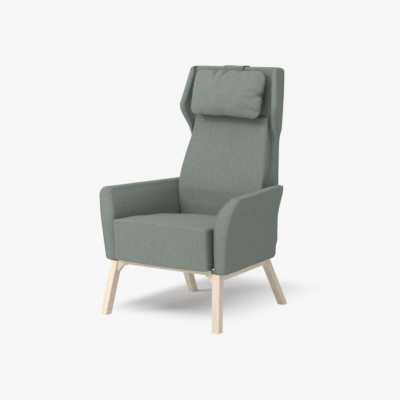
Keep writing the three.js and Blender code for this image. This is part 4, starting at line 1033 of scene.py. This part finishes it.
def build_pad():
    """The back pad: plan sections carried up, whose front follows a depth table, with soft side edges
    and a thin upper end."""
    s, shell = bpy.context.scene.lounge_pad, bpy.context.scene.lounge_shell
    round_ = s.end_round
    ends = np.linspace(0, QUARTER, PAD_END_STEPS)
    z = np.concatenate([s.bottom_z + round_ * (1 - np.sin(ends[::-1])),
                        np.linspace(s.bottom_z + round_, s.top_z - round_, PAD_LEVELS)[1:-1],
                        s.top_z - round_ + round_ * np.sin(ends)])
    inset = np.concatenate([round_ * (1 - np.cos(ends[::-1])), np.zeros(PAD_LEVELS - 2),
                            round_ * (1 - np.cos(ends))])
    share = up_share(s, z)
    travel, width, edge = (smooth_table(share, PAD_SHARES[:, [0, column]]) for column in (1, 2, 3))
    half = s.half_width * width
    front = mix(s.lumbar_y, s.top_y, travel)
    rear = shell_front(shell, z) + PAD_PRESS
    nil = np.zeros(len(z))
    front_middle, rear_middle = np.stack([nil, front], axis=1), np.stack([nil, rear], axis=1)
    side = np.stack([half, mix(front, rear, PAD_SIDE_SHARE)], axis=1)
    face = np.stack([half, front + s.crown], axis=1)
    heel = np.stack([half - PAD_HEEL_INSET, rear], axis=1)
    soft = np.minimum(s.edge_round * PAD_CUT_SHARE * edge, PAD_CUT_LIMIT * (rear - front))
    inner = rounded_path(np.stack([front_middle, face, side], axis=1), [soft], PAD_FRONT_RUNS, PAD_ARC)
    outer = rounded_path(np.stack([side, heel, rear_middle], axis=1), [PAD_HEEL_CUT], PAD_REAR_RUNS, PAD_ARC)
    inner, outer = drawn_together(inner, outer, inset, PAD_DRAW_LIMIT, PAD_REAR_DRAW)
    across = inner[..., 0] / half[:, None]
    inner[..., 1] -= PAD_SWELL * arch(np.clip(across, 0, 1) / 2 + 0.5) * arch(share)[:, None]
    surface = carried_up(inner, outer, z, inner.shape[1] - 1, PAD_SEAM, PAD_CAP_STEPS)
    made = surface.build("back_pad", [(0.0013, 0.16, 10), (0.0004, 0.05, 11)])
    upholster(made, "chair")
    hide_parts("back_pad_cover", "back_pad_foam")


# Pillow, straps and pouch

# The pillow's cloth: a stiff, dry fabric under inner pressure, without gravity, for this many frames
CLOTH = {"quality": 6, "mass": 0.25, "tension_stiffness": 22, "compression_stiffness": 22,
         "shear_stiffness": 8, "bending_stiffness": 0.6, "air_damping": 4, "use_pressure": True,
         "uniform_pressure_force": 4.0}
CLOTH_FRAMES = 24
SHEET_COLUMNS, SHEET_ROWS, EDGE_SHARE = 89, 53, 0.9999
EVENING_FACTOR, EVENING_ROUNDS, PLUMP_POWER = 0.5, 12, 0.45
# Straightening the outline: places along a side, the least reach, the limits of the stretch, and its
# averaging
OUTLINE_PLACES, OUTLINE_LEAST, STRETCH_LIMITS, AVERAGED = 36, 0.5, (0.85, 1.25), 5
# Folds in the pillow's front, in metres on its face: start at the edge (across, up), end (across, up) and
# depth
PILLOW_FOLDS = (
    (-0.072, 0.114, -0.052, 0.030, 0.0125), (-0.008, 0.114, -0.030, 0.034, 0.0125),
    (0.062, 0.114, 0.060, 0.070, 0.0060), (0.202, -0.002, 0.128, 0.014, 0.0085),
    (0.202, -0.004, 0.135, -0.030, 0.0075), (0.198, -0.085, 0.115, -0.058, 0.0085),
    (0.110, -0.112, 0.098, -0.078, 0.0030), (-0.120, -0.112, -0.108, -0.080, 0.0030),
    (-0.200, 0.030, -0.165, 0.022, 0.0030))
# A fold's width; its shoulders' height, and their place in widths; how it sets in and fades along its run
FOLD_WIDTH, SHOULDER_SHARE, SHOULDER_PLACE = 0.0085, 0.35, 2.2
FOLD_START, FOLD_RISE, FOLD_FADE = 0.4, 4, 1.3
# Height, wavelength and seed of the puckers and of the slow swell, and how far the puckers reach from the
# seam
PUCKER, SLOW_SWELL, PUCKER_REACH = (0.0011, 0.021, 31), (0.0012, 0.09, 32), 0.016
PINCH_HEIGHT, PINCH_WIDTH, PINCH_POWER = -0.002, 0.016, 6


def pillow_sheets(s, belly):
    """Two sheets over one another, joined at the edge: a square grid whose corners are drawn to circles,
    with a depth of belly * ((1 - u^2)(1 - v^2))^0.5 on either side."""
    u, v = np.meshgrid(np.linspace(-1, 1, SHEET_COLUMNS), np.linspace(-1, 1, SHEET_ROWS))
    x, y = u * s.half_width, v * s.half_height
    core_x = np.clip(x, -s.half_width + s.corner, s.half_width - s.corner)
    core_y = np.clip(y, -s.half_height + s.corner, s.half_height - s.corner)
    dx, dy = x - core_x, y - core_y
    far = np.maximum(np.hypot(dx, dy), TINY)
    scale = np.maximum(np.abs(dx), np.abs(dy)) / far
    x, y = core_x + dx * scale, core_y + dy * scale
    depth = belly * np.sqrt(np.clip((1 - u**2) * (1 - v**2), 0, 1))
    edge = ((np.abs(u) > EDGE_SHARE) | (np.abs(v) > EDGE_SHARE)).astype(float)
    return [(np.stack([x, sign * depth, y], axis=-1), edge) for sign in (-1, 1)]


def inflate(made):
    """Fills the closed sheets by a cloth simulation with inner pressure and keeps the last frame."""
    cloth = made.modifiers.new("Cloth", "CLOTH")
    for name, value in CLOTH.items():
        setattr(cloth.settings, name, value)
    cloth.settings.effector_weights.gravity = 0
    cloth.collision_settings.use_collision = False
    cloth.point_cache.frame_start, cloth.point_cache.frame_end = 1, CLOTH_FRAMES
    scene = bpy.context.scene
    for at in range(1, CLOTH_FRAMES + 1):
        scene.frame_set(at)
    found = made.evaluated_get(bpy.context.evaluated_depsgraph_get())
    points = read_points(found.to_mesh())
    found.to_mesh_clear()
    made.modifiers.remove(cloth)
    write_points(made.data, points)
    scene.frame_set(1)


def evened(made):
    """Smooths the filled sheets and divides their faces once, both applied to the mesh."""
    even = made.modifiers.new("Evened", "SMOOTH")
    even.factor, even.iterations = EVENING_FACTOR, EVENING_ROUNDS
    finer = made.modifiers.new("Finer", "SUBSURF")
    finer.levels = finer.render_levels = 1
    rounder = bpy.data.meshes.new_from_object(made.evaluated_get(bpy.context.evaluated_depsgraph_get()))
    made.modifiers.clear()
    made.data = rounder


def straightened(reach, along, half, half_along, corner):
    """Stretches a pillow's reach to either side so that its outline runs straight, with round corners:
    at each place along the side, the furthest point is brought to half - corner (1 - sqrt(1 - t^2)), t
    being the way into the corner."""
    last = OUTLINE_PLACES - 1
    place = np.linspace(-half_along, half_along, OUTLINE_PLACES)
    index = np.clip(np.rint((along / half_along + 1) / 2 * last).astype(int), 0, last)
    wanted = half - corner * rounded_end(np.clip((np.abs(place) - half_along + corner) / corner, 0, 1))
    found = reach.copy()
    for way in (1, -1):
        furthest = np.full(OUTLINE_PLACES, half * OUTLINE_LEAST)
        np.maximum.at(furthest, index, way * reach)
        factor = np.pad(np.clip(wanted / furthest, *STRETCH_LIMITS), AVERAGED // 2, mode="edge")
        factor = np.convolve(factor, np.full(AVERAGED, 1 / AVERAGED), mode="valid")
        found = np.where(way * reach > 0, reach * np.interp(along, place, factor), found)
    return found


def fold_depth(across, up):
    """How deep the folds lie at each point of the face: a groove with low shoulders beside it, fading
    out along its run."""
    depth = np.zeros(len(across))
    for x0, z0, x1, z1, deep in PILLOW_FOLDS:
        run = np.array([x1 - x0, z1 - z0])
        along = ((across - x0) * run[0] + (up - z0) * run[1]) / (run @ run)
        aside = np.abs((across - x0) * run[1] - (up - z0) * run[0]) / np.linalg.norm(run)
        shoulder = bell(aside, SHOULDER_PLACE * FOLD_WIDTH, FOLD_WIDTH)
        section = bell(aside, 0, FOLD_WIDTH) - SHOULDER_SHARE * shoulder
        fading = np.clip(1 - along, 0, 1) ** FOLD_FADE
        depth += deep * section * fading * np.clip(FOLD_START + FOLD_RISE * along, 0, 1)
    return depth


def build_pillow():
    """The head pillow: two sewn sheets filled by simulation, fitted to the pillow's size, folded, leant
    back and set in place."""
    s = bpy.context.scene.lounge_pillow
    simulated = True
    surface = Surface()
    for sheet, edge in pillow_sheets(s, s.slack * s.half_depth if simulated else s.half_depth):
        surface.grid(sheet, edge)
    made = surface.build("head_pillow")
    if simulated:
        inflate(made)
    evened(made)
    points = read_points(made.data) - PLAN_SHIFT
    size = np.abs(points).max(axis=0)
    points = points / size * np.array([s.half_width, s.half_depth, s.half_height])
    points[:, 0] = straightened(points[:, 0], points[:, 2], s.half_width, s.half_height, s.corner)
    points[:, 2] = straightened(points[:, 2], points[:, 0], s.half_height, s.half_width, s.corner)
    across, up = points[:, 0].copy(), points[:, 2].copy()
    # The filling evens the face towards a plain cushion: half_depth ((1 - u^2)(1 - v^2))^PLUMP_POWER
    u2, v2 = np.clip(across / s.half_width, -1, 1) ** 2, np.clip(up / s.half_height, -1, 1) ** 2
    plump = s.half_depth * ((1 - u2) * (1 - v2)) ** PLUMP_POWER
    points[:, 1] = mix(points[:, 1], np.sign(points[:, 1]) * plump, s.filling)
    # Puckers beside the seam, the folds on the front, and the pinch in one edge
    beside = np.clip(np.minimum(s.half_width - np.abs(across), s.half_height - np.abs(up)), 0, None)
    pucker = PUCKER[0] * swell_noise(points, *PUCKER[1:]) * np.exp(-beside / PUCKER_REACH)
    pucker = pucker + SLOW_SWELL[0] * swell_noise(points, *SLOW_SWELL[1:])
    write_points(made.data, points)
    outward = pucker - fold_depth(across, up) * (points[:, 1] < 0)
    points = points + read_normals(made.data) * outward[:, None]
    sided, high = np.clip(across / s.half_width, 0, 1), up / s.half_height
    points[:, 0] -= s.pinch * bell(up, PINCH_HEIGHT, PINCH_WIDTH) * sided**PINCH_POWER
    # The pillow hangs a little askew: its left side, as one sits, is wider above and lower below
    points[:, 0] += s.askew * sided * (1 + high) / 2
    points[:, 2] -= s.askew * sided * (1 - high) / 2
    up, depth = points[:, 2].copy(), points[:, 1].copy()
    points[:, 1] = s.middle_y + up * math.sin(s.tilt) + depth * math.cos(s.tilt)
    points[:, 2] = s.middle_z + up * math.cos(s.tilt) - depth * math.sin(s.tilt)
    write_points(made.data, points + PLAN_SHIFT)
    made.data.shade_smooth()
    upholster(made, "head_pillow")
    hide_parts("pillow_cover", "pillow_fill")


# A strap's section: points across each flat side, and round each edge
STRAP_FLAT, STRAP_TURN = 25, 5
# The strap keeps this far off the shell, and this much further behind it
STRAP_GAP, STRAP_REAR_GAP = 0.0003, 0.001
# Where the strap is sewn to the pillow: share of the way through its CAD node, and height over that node's
# foot
SEWN_SHARE, SEWN_RISE = 0.45, 0.001
STRAP_CUTS, STRAP_RUNS, STRAP_ARC = [0.006, 0.012, 0.012], [10, 6, 12, 8], 8
# How far below the top's bend the upper strap ends and the lower one starts, and the lower one's steps
OVER_END, BEHIND_START, BEHIND_STEPS = 0.004, 0.001, 40


def carried(line, half_width, thickness, bow=0.0):
    """A flat strap carried along a line (n, 2) in side view: its section is a thin rectangle with
    rounded edges, in the plane of the line's normal; bow lifts the middle."""
    ahead = np.gradient(line, axis=0)
    ahead /= np.linalg.norm(ahead, axis=1, keepdims=True)
    normal = np.stack([-ahead[:, 1], ahead[:, 0]], axis=1)
    turn = np.linspace(-QUARTER, QUARTER, STRAP_TURN)
    half = thickness / 2
    flat = np.linspace(-half_width + half, half_width - half, STRAP_FLAT)
    across = np.concatenate([flat, half_width - half + half * np.cos(turn[::-1])[1:-1], flat[::-1],
                             -half_width + half - half * np.cos(turn)[1:-1], flat[:1]])
    lift = np.concatenate([np.full(STRAP_FLAT, half), half * np.sin(turn[::-1])[1:-1],
                           np.full(STRAP_FLAT, -half), half * np.sin(turn)[1:-1], [half]])
    lift = lift + bow * (1 - (across / half_width) ** 2)
    flat_place = line[:, None, :] + normal[:, None, :] * lift[None, :, None]
    x = np.broadcast_to(across[None, :, None], (len(line), len(across), 1))
    points = np.concatenate([x, flat_place], axis=2)
    surface = Surface().grid(points)
    lower = STRAP_FLAT + STRAP_TURN - 2
    for level in (0, -1):
        surface.grid(np.stack([points[level, :STRAP_FLAT], points[level, lower : lower + STRAP_FLAT][::-1]]))
    return surface


def build_straps():
    """The strap from the pillow's back over the shell's top, and its fall behind the shell to the pouch."""
    s, shell = bpy.context.scene.lounge_strap, bpy.context.scene.lounge_shell
    foot = shell.top_z - s.drop
    away = STRAP_GAP + s.thickness / 2 + s.lift
    low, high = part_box("strap_front")
    sewn = (mix(float(low.y), float(high.y), SEWN_SHARE) - float(PLAN_SHIFT[1]), float(low.z) + SEWN_RISE)
    front_y = float(shell_front(shell, np.array([foot]))[0]) - away
    rear_y = float(shell_rear(shell, np.array([foot]))[0]) + away
    top = shell.top_z + away
    line = np.array([[sewn, (front_y, foot), (front_y, top), (rear_y, top), (rear_y, foot - OVER_END)]])
    path = rounded_path(line, STRAP_CUTS, STRAP_RUNS, STRAP_ARC)[0]
    over = carried(path, s.half_width, s.thickness, -s.lift).build("strap_over_top", [(0.0005, 0.06, 21)])
    upholster(over)
    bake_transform(over)
    run_length(path)
    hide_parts("strap_front", "strap_top")
    pouch_top = s.pouch_bottom_z + s.pouch_height
    z = np.linspace(foot - BEHIND_START, pouch_top, BEHIND_STEPS)
    fall = np.stack([shell_rear(shell, z) + away + STRAP_REAR_GAP - s.lift, z], axis=1)
    behind = carried(fall, s.half_width, s.thickness).build("strap_behind", [(0.0003, 0.05, 22)])
    upholster(behind)
    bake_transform(behind)
    run_length(fall)
    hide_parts("strap_rear")


# The pouch's faces, as shares of its half width and half height: ends of the even runs, and the steps in
# each
POUCH_ACROSS, POUCH_ACROSS_STEPS = [-1, -0.9, 0.9, 1], [6, 40, 6]
POUCH_UP, POUCH_UP_STEPS = [-1, -0.88, 0.88, 1], [6, 32, 6]
# The pouch's sides draw in by this; its rim lies between these distances from the shell, in these steps
POUCH_WAIST, POUCH_RIM, POUCH_RIM_STEPS = 0.0015, (0.0044, 0.0055), 4
# The face on the shell lies this far off it in the middle, and this much further at the rim
POUCH_GAP, POUCH_HOLLOW = 0.0004, 0.004
POUCH_SEWN, POUCH_SEWN_WIDTH, POUCH_FULLNESS = 0.93, 0.02, 6


def build_pouch():
    """The weight's pouch: a flat envelope, filled in the middle, that narrows to a sewn edge all round
    and follows the shell."""
    s, shell = bpy.context.scene.lounge_strap, bpy.context.scene.lounge_shell
    u, v = np.meshgrid(stops(POUCH_ACROSS, POUCH_ACROSS_STEPS), stops(POUCH_UP, POUCH_UP_STEPS))
    full = (np.clip((1 - u**POUCH_FULLNESS) * (1 - v**POUCH_FULLNESS), 0, 1)) ** 0.5

    def placed(u, v, depth):
        """Points at shares u and v, `depth` behind the shell's rear face."""
        z = s.pouch_bottom_z + s.pouch_height * (v + 1) / 2
        half = s.half_width - POUCH_WAIST * (1 - v**2)
        return np.stack([u * half, shell_rear(shell, z) + depth, z], axis=-1)

    surface = Surface()
    sewn = bell(np.maximum(np.abs(u), np.abs(v)), POUCH_SEWN, POUCH_SEWN_WIDTH)
    for depth in (POUCH_GAP + POUCH_HOLLOW * (1 - full), mix(POUCH_RIM[1], s.pouch_thickness, full)):
        surface.grid(placed(u, v, depth), sewn)
    sides = [(u[0], v[0]), (u[:, -1], v[:, -1]), (u[-1][::-1], v[-1][::-1]), (u[:, 0][::-1], v[:, 0][::-1])]
    rim = np.concatenate([np.stack(side, axis=1)[0 if k == 0 else 1 :] for k, side in enumerate(sides)])
    depths = mix(*POUCH_RIM, np.linspace(0, 1, POUCH_RIM_STEPS))
    surface.grid(np.stack([placed(rim[:, 0], rim[:, 1], depth) for depth in depths]))
    made = surface.build("weight_pocket", [(0.0003, 0.03, 23)])
    upholster(made, "counterweight")
    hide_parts("weight_pouch")


# Frame finishes

# A CAD node's triangles are welded within this, joined where they lie flat to this, and bevelled at sharper
# edges
WELD_WITHIN, FLAT_WITHIN, SHARP_FROM, BEVEL_SEGMENTS = 0.00005, math.radians(0.5), math.radians(28), 3
LEG_EDGE, RAIL_EDGE = 0.004, 0.003
# How far each leg leans forward and outward over its height, all in millimetres
LEG_LEANS = {"leg_front": (52 / 258, -26 / 258), "leg_rear": (-141 / 484, -35 / 484)}


def soften(node, width):
    """Rounds a wooden CAD node's edges: its loose triangles are welded and its sharp edges bevelled by
    modifiers."""
    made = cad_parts[node]
    weld = made.modifiers.new("Weld", "WELD")
    weld.merge_threshold = WELD_WITHIN
    flat = made.modifiers.new("Flat", "DECIMATE")
    flat.decimate_type = "DISSOLVE"
    flat.angle_limit = FLAT_WITHIN
    edge = made.modifiers.new("Edge", "BEVEL")
    edge.width, edge.segments = width, BEVEL_SEGMENTS
    edge.limit_method, edge.angle_limit = "ANGLE", SHARP_FROM
    edge.harden_normals = False
    made.data.shade_smooth()
    smooth = made.modifiers.new("Smooth", "WEIGHTED_NORMAL")
    smooth.keep_sharp = False


def give(nodes, material):
    """Puts one material on CAD nodes."""
    for name in nodes:
        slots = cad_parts[name].data.materials
        slots.clear()
        slots.append(material)


def dress_frame():
    """Birch with the grain along each leg and rail, and the inner pieces' own finishes."""
    c = bpy.context.scene.lounge_colours
    names = sorted(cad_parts)
    for side, sign in (("left", 1), ("right", -1)):
        for leg, (forward, out) in LEG_LEANS.items():
            turn = (-math.atan(forward), math.atan(out) * sign, 0)
            give([f"{leg}_{side}"], clear_birch(f"birch_{leg}_{side}", c.birch, turn))
            soften(f"{leg}_{side}", LEG_EDGE)
    for name in (n for n in names if n.startswith(("rail_", "side_rail"))):
        turn = (0, QUARTER, 0) if "front" in name or "rear" in name else (QUARTER, 0, 0)
        give([name], clear_birch(f"birch_{name}", c.birch, turn))
        soften(name, RAIL_EDGE)
    ply = veneer("plywood_edge", c.plywood)
    foam = plain_finish("foam_cell", c.foam, fine=900.0, broad=12.0, spread=0.10, rough=(0.88, 0.98),
                        depth=0.0008)
    steel = plain_finish("zinc_steel", c.steel, fine=700.0, broad=40.0, spread=0.06, rough=(0.28, 0.42),
                         depth=0.0001, metallic=1.0)
    glide = plain_finish("nylon_glide", c.glide, fine=1200.0, broad=30.0, spread=0.15, rough=(0.45, 0.6),
                         depth=0.0001)
    web = woven("webbing_weave", c.webbing, pitch=0.0022, depth=0.0005)
    dust = woven("dust_weave", c.dust_cloth, pitch=0.0011, depth=0.0002)
    kinds = [("corner_block", ply), ("seat_frame", ply), ("back_", ply), ("arm_core", ply),
             ("wing_core", ply), ("webbing", web), ("dust", dust), ("glide", glide), ("weight_bar", steel)]
    for name in names:
        if "bolt" in name:
            give([name], steel)
        for start, material in kinds:
            if name.startswith(start) and "bolt" not in name and "pad" not in name:
                give([name], material)
    give([n for n in names if "foam" in n or n == "pillow_fill"], foam)


# Stage

SENSOR_WIDTH, FARTHEST = 36.0, 100.0
# The floor is a disc: ends of its even runs of rings, the rings in each, and the spokes
FLOOR_RINGS, FLOOR_STEPS, FLOOR_SPOKES = [0.0, 3.0, 40.0], [6, 8], 65
# The shadow keeps to the chair's footprint: on each side the floor turns plain between two places on an axis
SHADOW_EDGES = (("X", -0.25, 0.36, 1, 0), ("X", -0.46, -0.33, 0, 1),
                ("Y", -0.30, -0.02, 0, 1), ("Y", 0.55, 0.9, 1, 0))
# The lamps: name, place, height that they look at and size
LAMPS = (("key", (-2.4, -3.6, 3.4), 0.6, 2.2), ("front", (0.8, -3.4, 3.8), 0.5, 2.6),
         ("top", (0.2, -0.5, 4.6), 0.5, 2.6), ("low", (-3.4, -3.0, 1.4), 0.6, 2.0),
         ("rear", (3.4, 2.2, 2.2), 0.6, 2.4))


def soft_lamp(name, where, aim, size, power):
    """A round soft lamp that looks from `where` to `aim`."""
    data = bpy.data.lights.new(name, "AREA")
    data.shape, data.size, data.energy = "DISK", size, power
    lamp = bpy.data.objects.new(name, data)
    bpy.context.scene.collection.objects.link(lamp)
    lamp.location = where
    lamp.rotation_euler = (Vector(where) - Vector(aim)).to_track_quat("Z", "Y").to_euler()


def set_camera(s):
    """The camera at the photograph's angle, aimed at the chair."""
    a, e = s.camera_turn, s.camera_rise
    back = Vector((math.sin(a) * math.cos(e), -math.cos(a) * math.cos(e), math.sin(e)))
    right = Vector((math.cos(a), math.sin(a), 0))
    up = back.cross(right)
    data = bpy.data.cameras.new("photo_camera")
    data.lens, data.sensor_width, data.clip_end = s.lens, SENSOR_WIDTH, FARTHEST
    camera = bpy.data.objects.new("photo_camera", data)
    bpy.context.scene.collection.objects.link(camera)
    place = Vector(s.target) + Vector(PLAN_SHIFT) + back * s.camera_distance
    turn = Matrix((right, up, back)).transposed().to_4x4()
    camera.matrix_world = Matrix.Translation(place) @ turn
    bpy.context.scene.camera = camera


def lay_floor(s):
    """A pale floor that keeps the shadow under the chair and is as plain as the background elsewhere."""
    ring, spokes = stops(FLOOR_RINGS, FLOOR_STEPS)[:, None], np.linspace(0, math.tau, FLOOR_SPOKES)
    grid = np.stack([ring * np.cos(spokes), ring * np.sin(spokes), 0 * ring * spokes], axis=-1)
    floor = Surface().grid(grid).build("floor")
    if floor.data.polygons[0].normal.z < 0:
        floor.data.flip_normals()
    f = Finish("pale_floor")
    fades = [f.between(f.axis(axis), *fade) for axis, *fade in SHADOW_EDGES]
    kept = math.prod(fades[1:], start=fades[0])
    matt = f.node("ShaderNodeBsdfDiffuse", {}, {"Color": rgba(s.background, s.floor_white)})
    plain = f.node("ShaderNodeEmission", {}, {"Color": rgba(s.background), "Strength": 1.0})
    share = f.node("ShaderNodeMath", {"operation": "MULTIPLY", "use_clamp": True},
                   {0: 1 - kept, 1: f.ray("Camera") + f.ray("Glossy")})
    mixed = f.node("ShaderNodeMixShader", {}, {0: share, 1: matt, 2: plain})
    f.node("ShaderNodeOutputMaterial", {}, {"Surface": mixed})
    floor.data.materials.append(f.material)


def set_sky(s):
    """An even white sky for light, and the background's colour where it is seen, mirrored or seen
    through."""
    world = bpy.data.worlds.new("studio")
    bpy.context.scene.world = world
    n = Nodes(world)
    even = n.node("ShaderNodeBackground", {}, {"Color": (1, 1, 1, 1), "Strength": s.sky})
    shown = n.node("ShaderNodeBackground", {}, {"Color": rgba(s.background), "Strength": 1.0})
    share = n.ray("Camera").larger(n.ray("Glossy")).larger(n.ray("Transmission"))
    mixed = n.node("ShaderNodeMixShader", {}, {0: share, 1: even, 2: shown})
    n.node("ShaderNodeOutputWorld", {}, {"Surface": mixed})


def build_stage():
    """The camera at the photograph's angle, a pale floor that keeps the shadow, an even sky and five
    soft lamps."""
    s = bpy.context.scene.lounge_stage
    set_camera(s)
    lay_floor(s)
    set_sky(s)
    for name, where, aim_height, size in LAMPS:
        soft_lamp(f"{name}_lamp", where, (0, 0, aim_height), size, getattr(s, f"{name}_power"))
    bpy.context.scene.view_settings.view_transform = "Standard"


# Operators and panel


class LOUNGE_OT_arms(Operator):
    """Build both upholstered arms"""

    bl_idname, bl_label = "lounge.arms", "Arms"

    def execute(self, context):
        build_arm(1)
        build_arm(-1)
        return {"FINISHED"}


class LOUNGE_OT_seat(Operator):
    """Build the seat block"""

    bl_idname, bl_label = "lounge.seat", "Seat"

    def execute(self, context):
        build_seat()
        return {"FINISHED"}


class LOUNGE_OT_shell(Operator):
    """Build the back shell with its wings"""

    bl_idname, bl_label = "lounge.shell", "Back shell"

    def execute(self, context):
        build_shell()
        return {"FINISHED"}


class LOUNGE_OT_pad(Operator):
    """Build the back pad"""

    bl_idname, bl_label = "lounge.pad", "Back pad"

    def execute(self, context):
        build_pad()
        return {"FINISHED"}


class LOUNGE_OT_pillow(Operator):
    """Build the head pillow"""

    bl_idname, bl_label = "lounge.pillow", "Head pillow"

    def execute(self, context):
        build_pillow()
        return {"FINISHED"}


class LOUNGE_OT_straps(Operator):
    """Build the strap over the shell's top and its fall behind the shell"""

    bl_idname, bl_label = "lounge.straps", "Straps"

    def execute(self, context):
        build_straps()
        return {"FINISHED"}


class LOUNGE_OT_pouch(Operator):
    """Build the weight's pouch"""

    bl_idname, bl_label = "lounge.pouch", "Weight pouch"

    def execute(self, context):
        build_pouch()
        return {"FINISHED"}


class LOUNGE_OT_frame(Operator):
    """Give the wooden base and the inner pieces their finishes"""

    bl_idname, bl_label = "lounge.frame", "Frame finishes"

    def execute(self, context):
        dress_frame()
        return {"FINISHED"}


class LOUNGE_OT_stage(Operator):
    """Set the floor, the lamps and the camera"""

    bl_idname, bl_label = "lounge.stage", "Stage"

    def execute(self, context):
        build_stage()
        return {"FINISHED"}


OPERATORS = (LOUNGE_OT_arms, LOUNGE_OT_seat, LOUNGE_OT_shell, LOUNGE_OT_pad, LOUNGE_OT_pillow,
             LOUNGE_OT_straps, LOUNGE_OT_pouch, LOUNGE_OT_frame, LOUNGE_OT_stage)


class LOUNGE_PT_chair(Panel):
    """The chair's build steps"""

    bl_idname, bl_label = "LOUNGE_PT_chair", "Lounge chair"
    bl_space_type, bl_region_type, bl_category = "VIEW_3D", "UI", "Chair"

    def draw(self, context):
        for operator in OPERATORS:
            self.layout.operator(operator.bl_idname)


def register():
    for group in (*GROUPS.values(), *OPERATORS, LOUNGE_PT_chair):
        bpy.utils.register_class(group)
    for name, group in GROUPS.items():
        setattr(bpy.types.Scene, name, PointerProperty(type=group))


def unregister():
    for name in GROUPS:
        delattr(bpy.types.Scene, name)
    for group in (LOUNGE_PT_chair, *OPERATORS, *GROUPS.values()):
        bpy.utils.unregister_class(group)


def main():
    """Builds everything in order."""
    register()
    for operator in OPERATORS:
        area, name = operator.bl_idname.split(".")
        getattr(getattr(bpy.ops, area), name)()


if __name__ == "__main__":
    main()
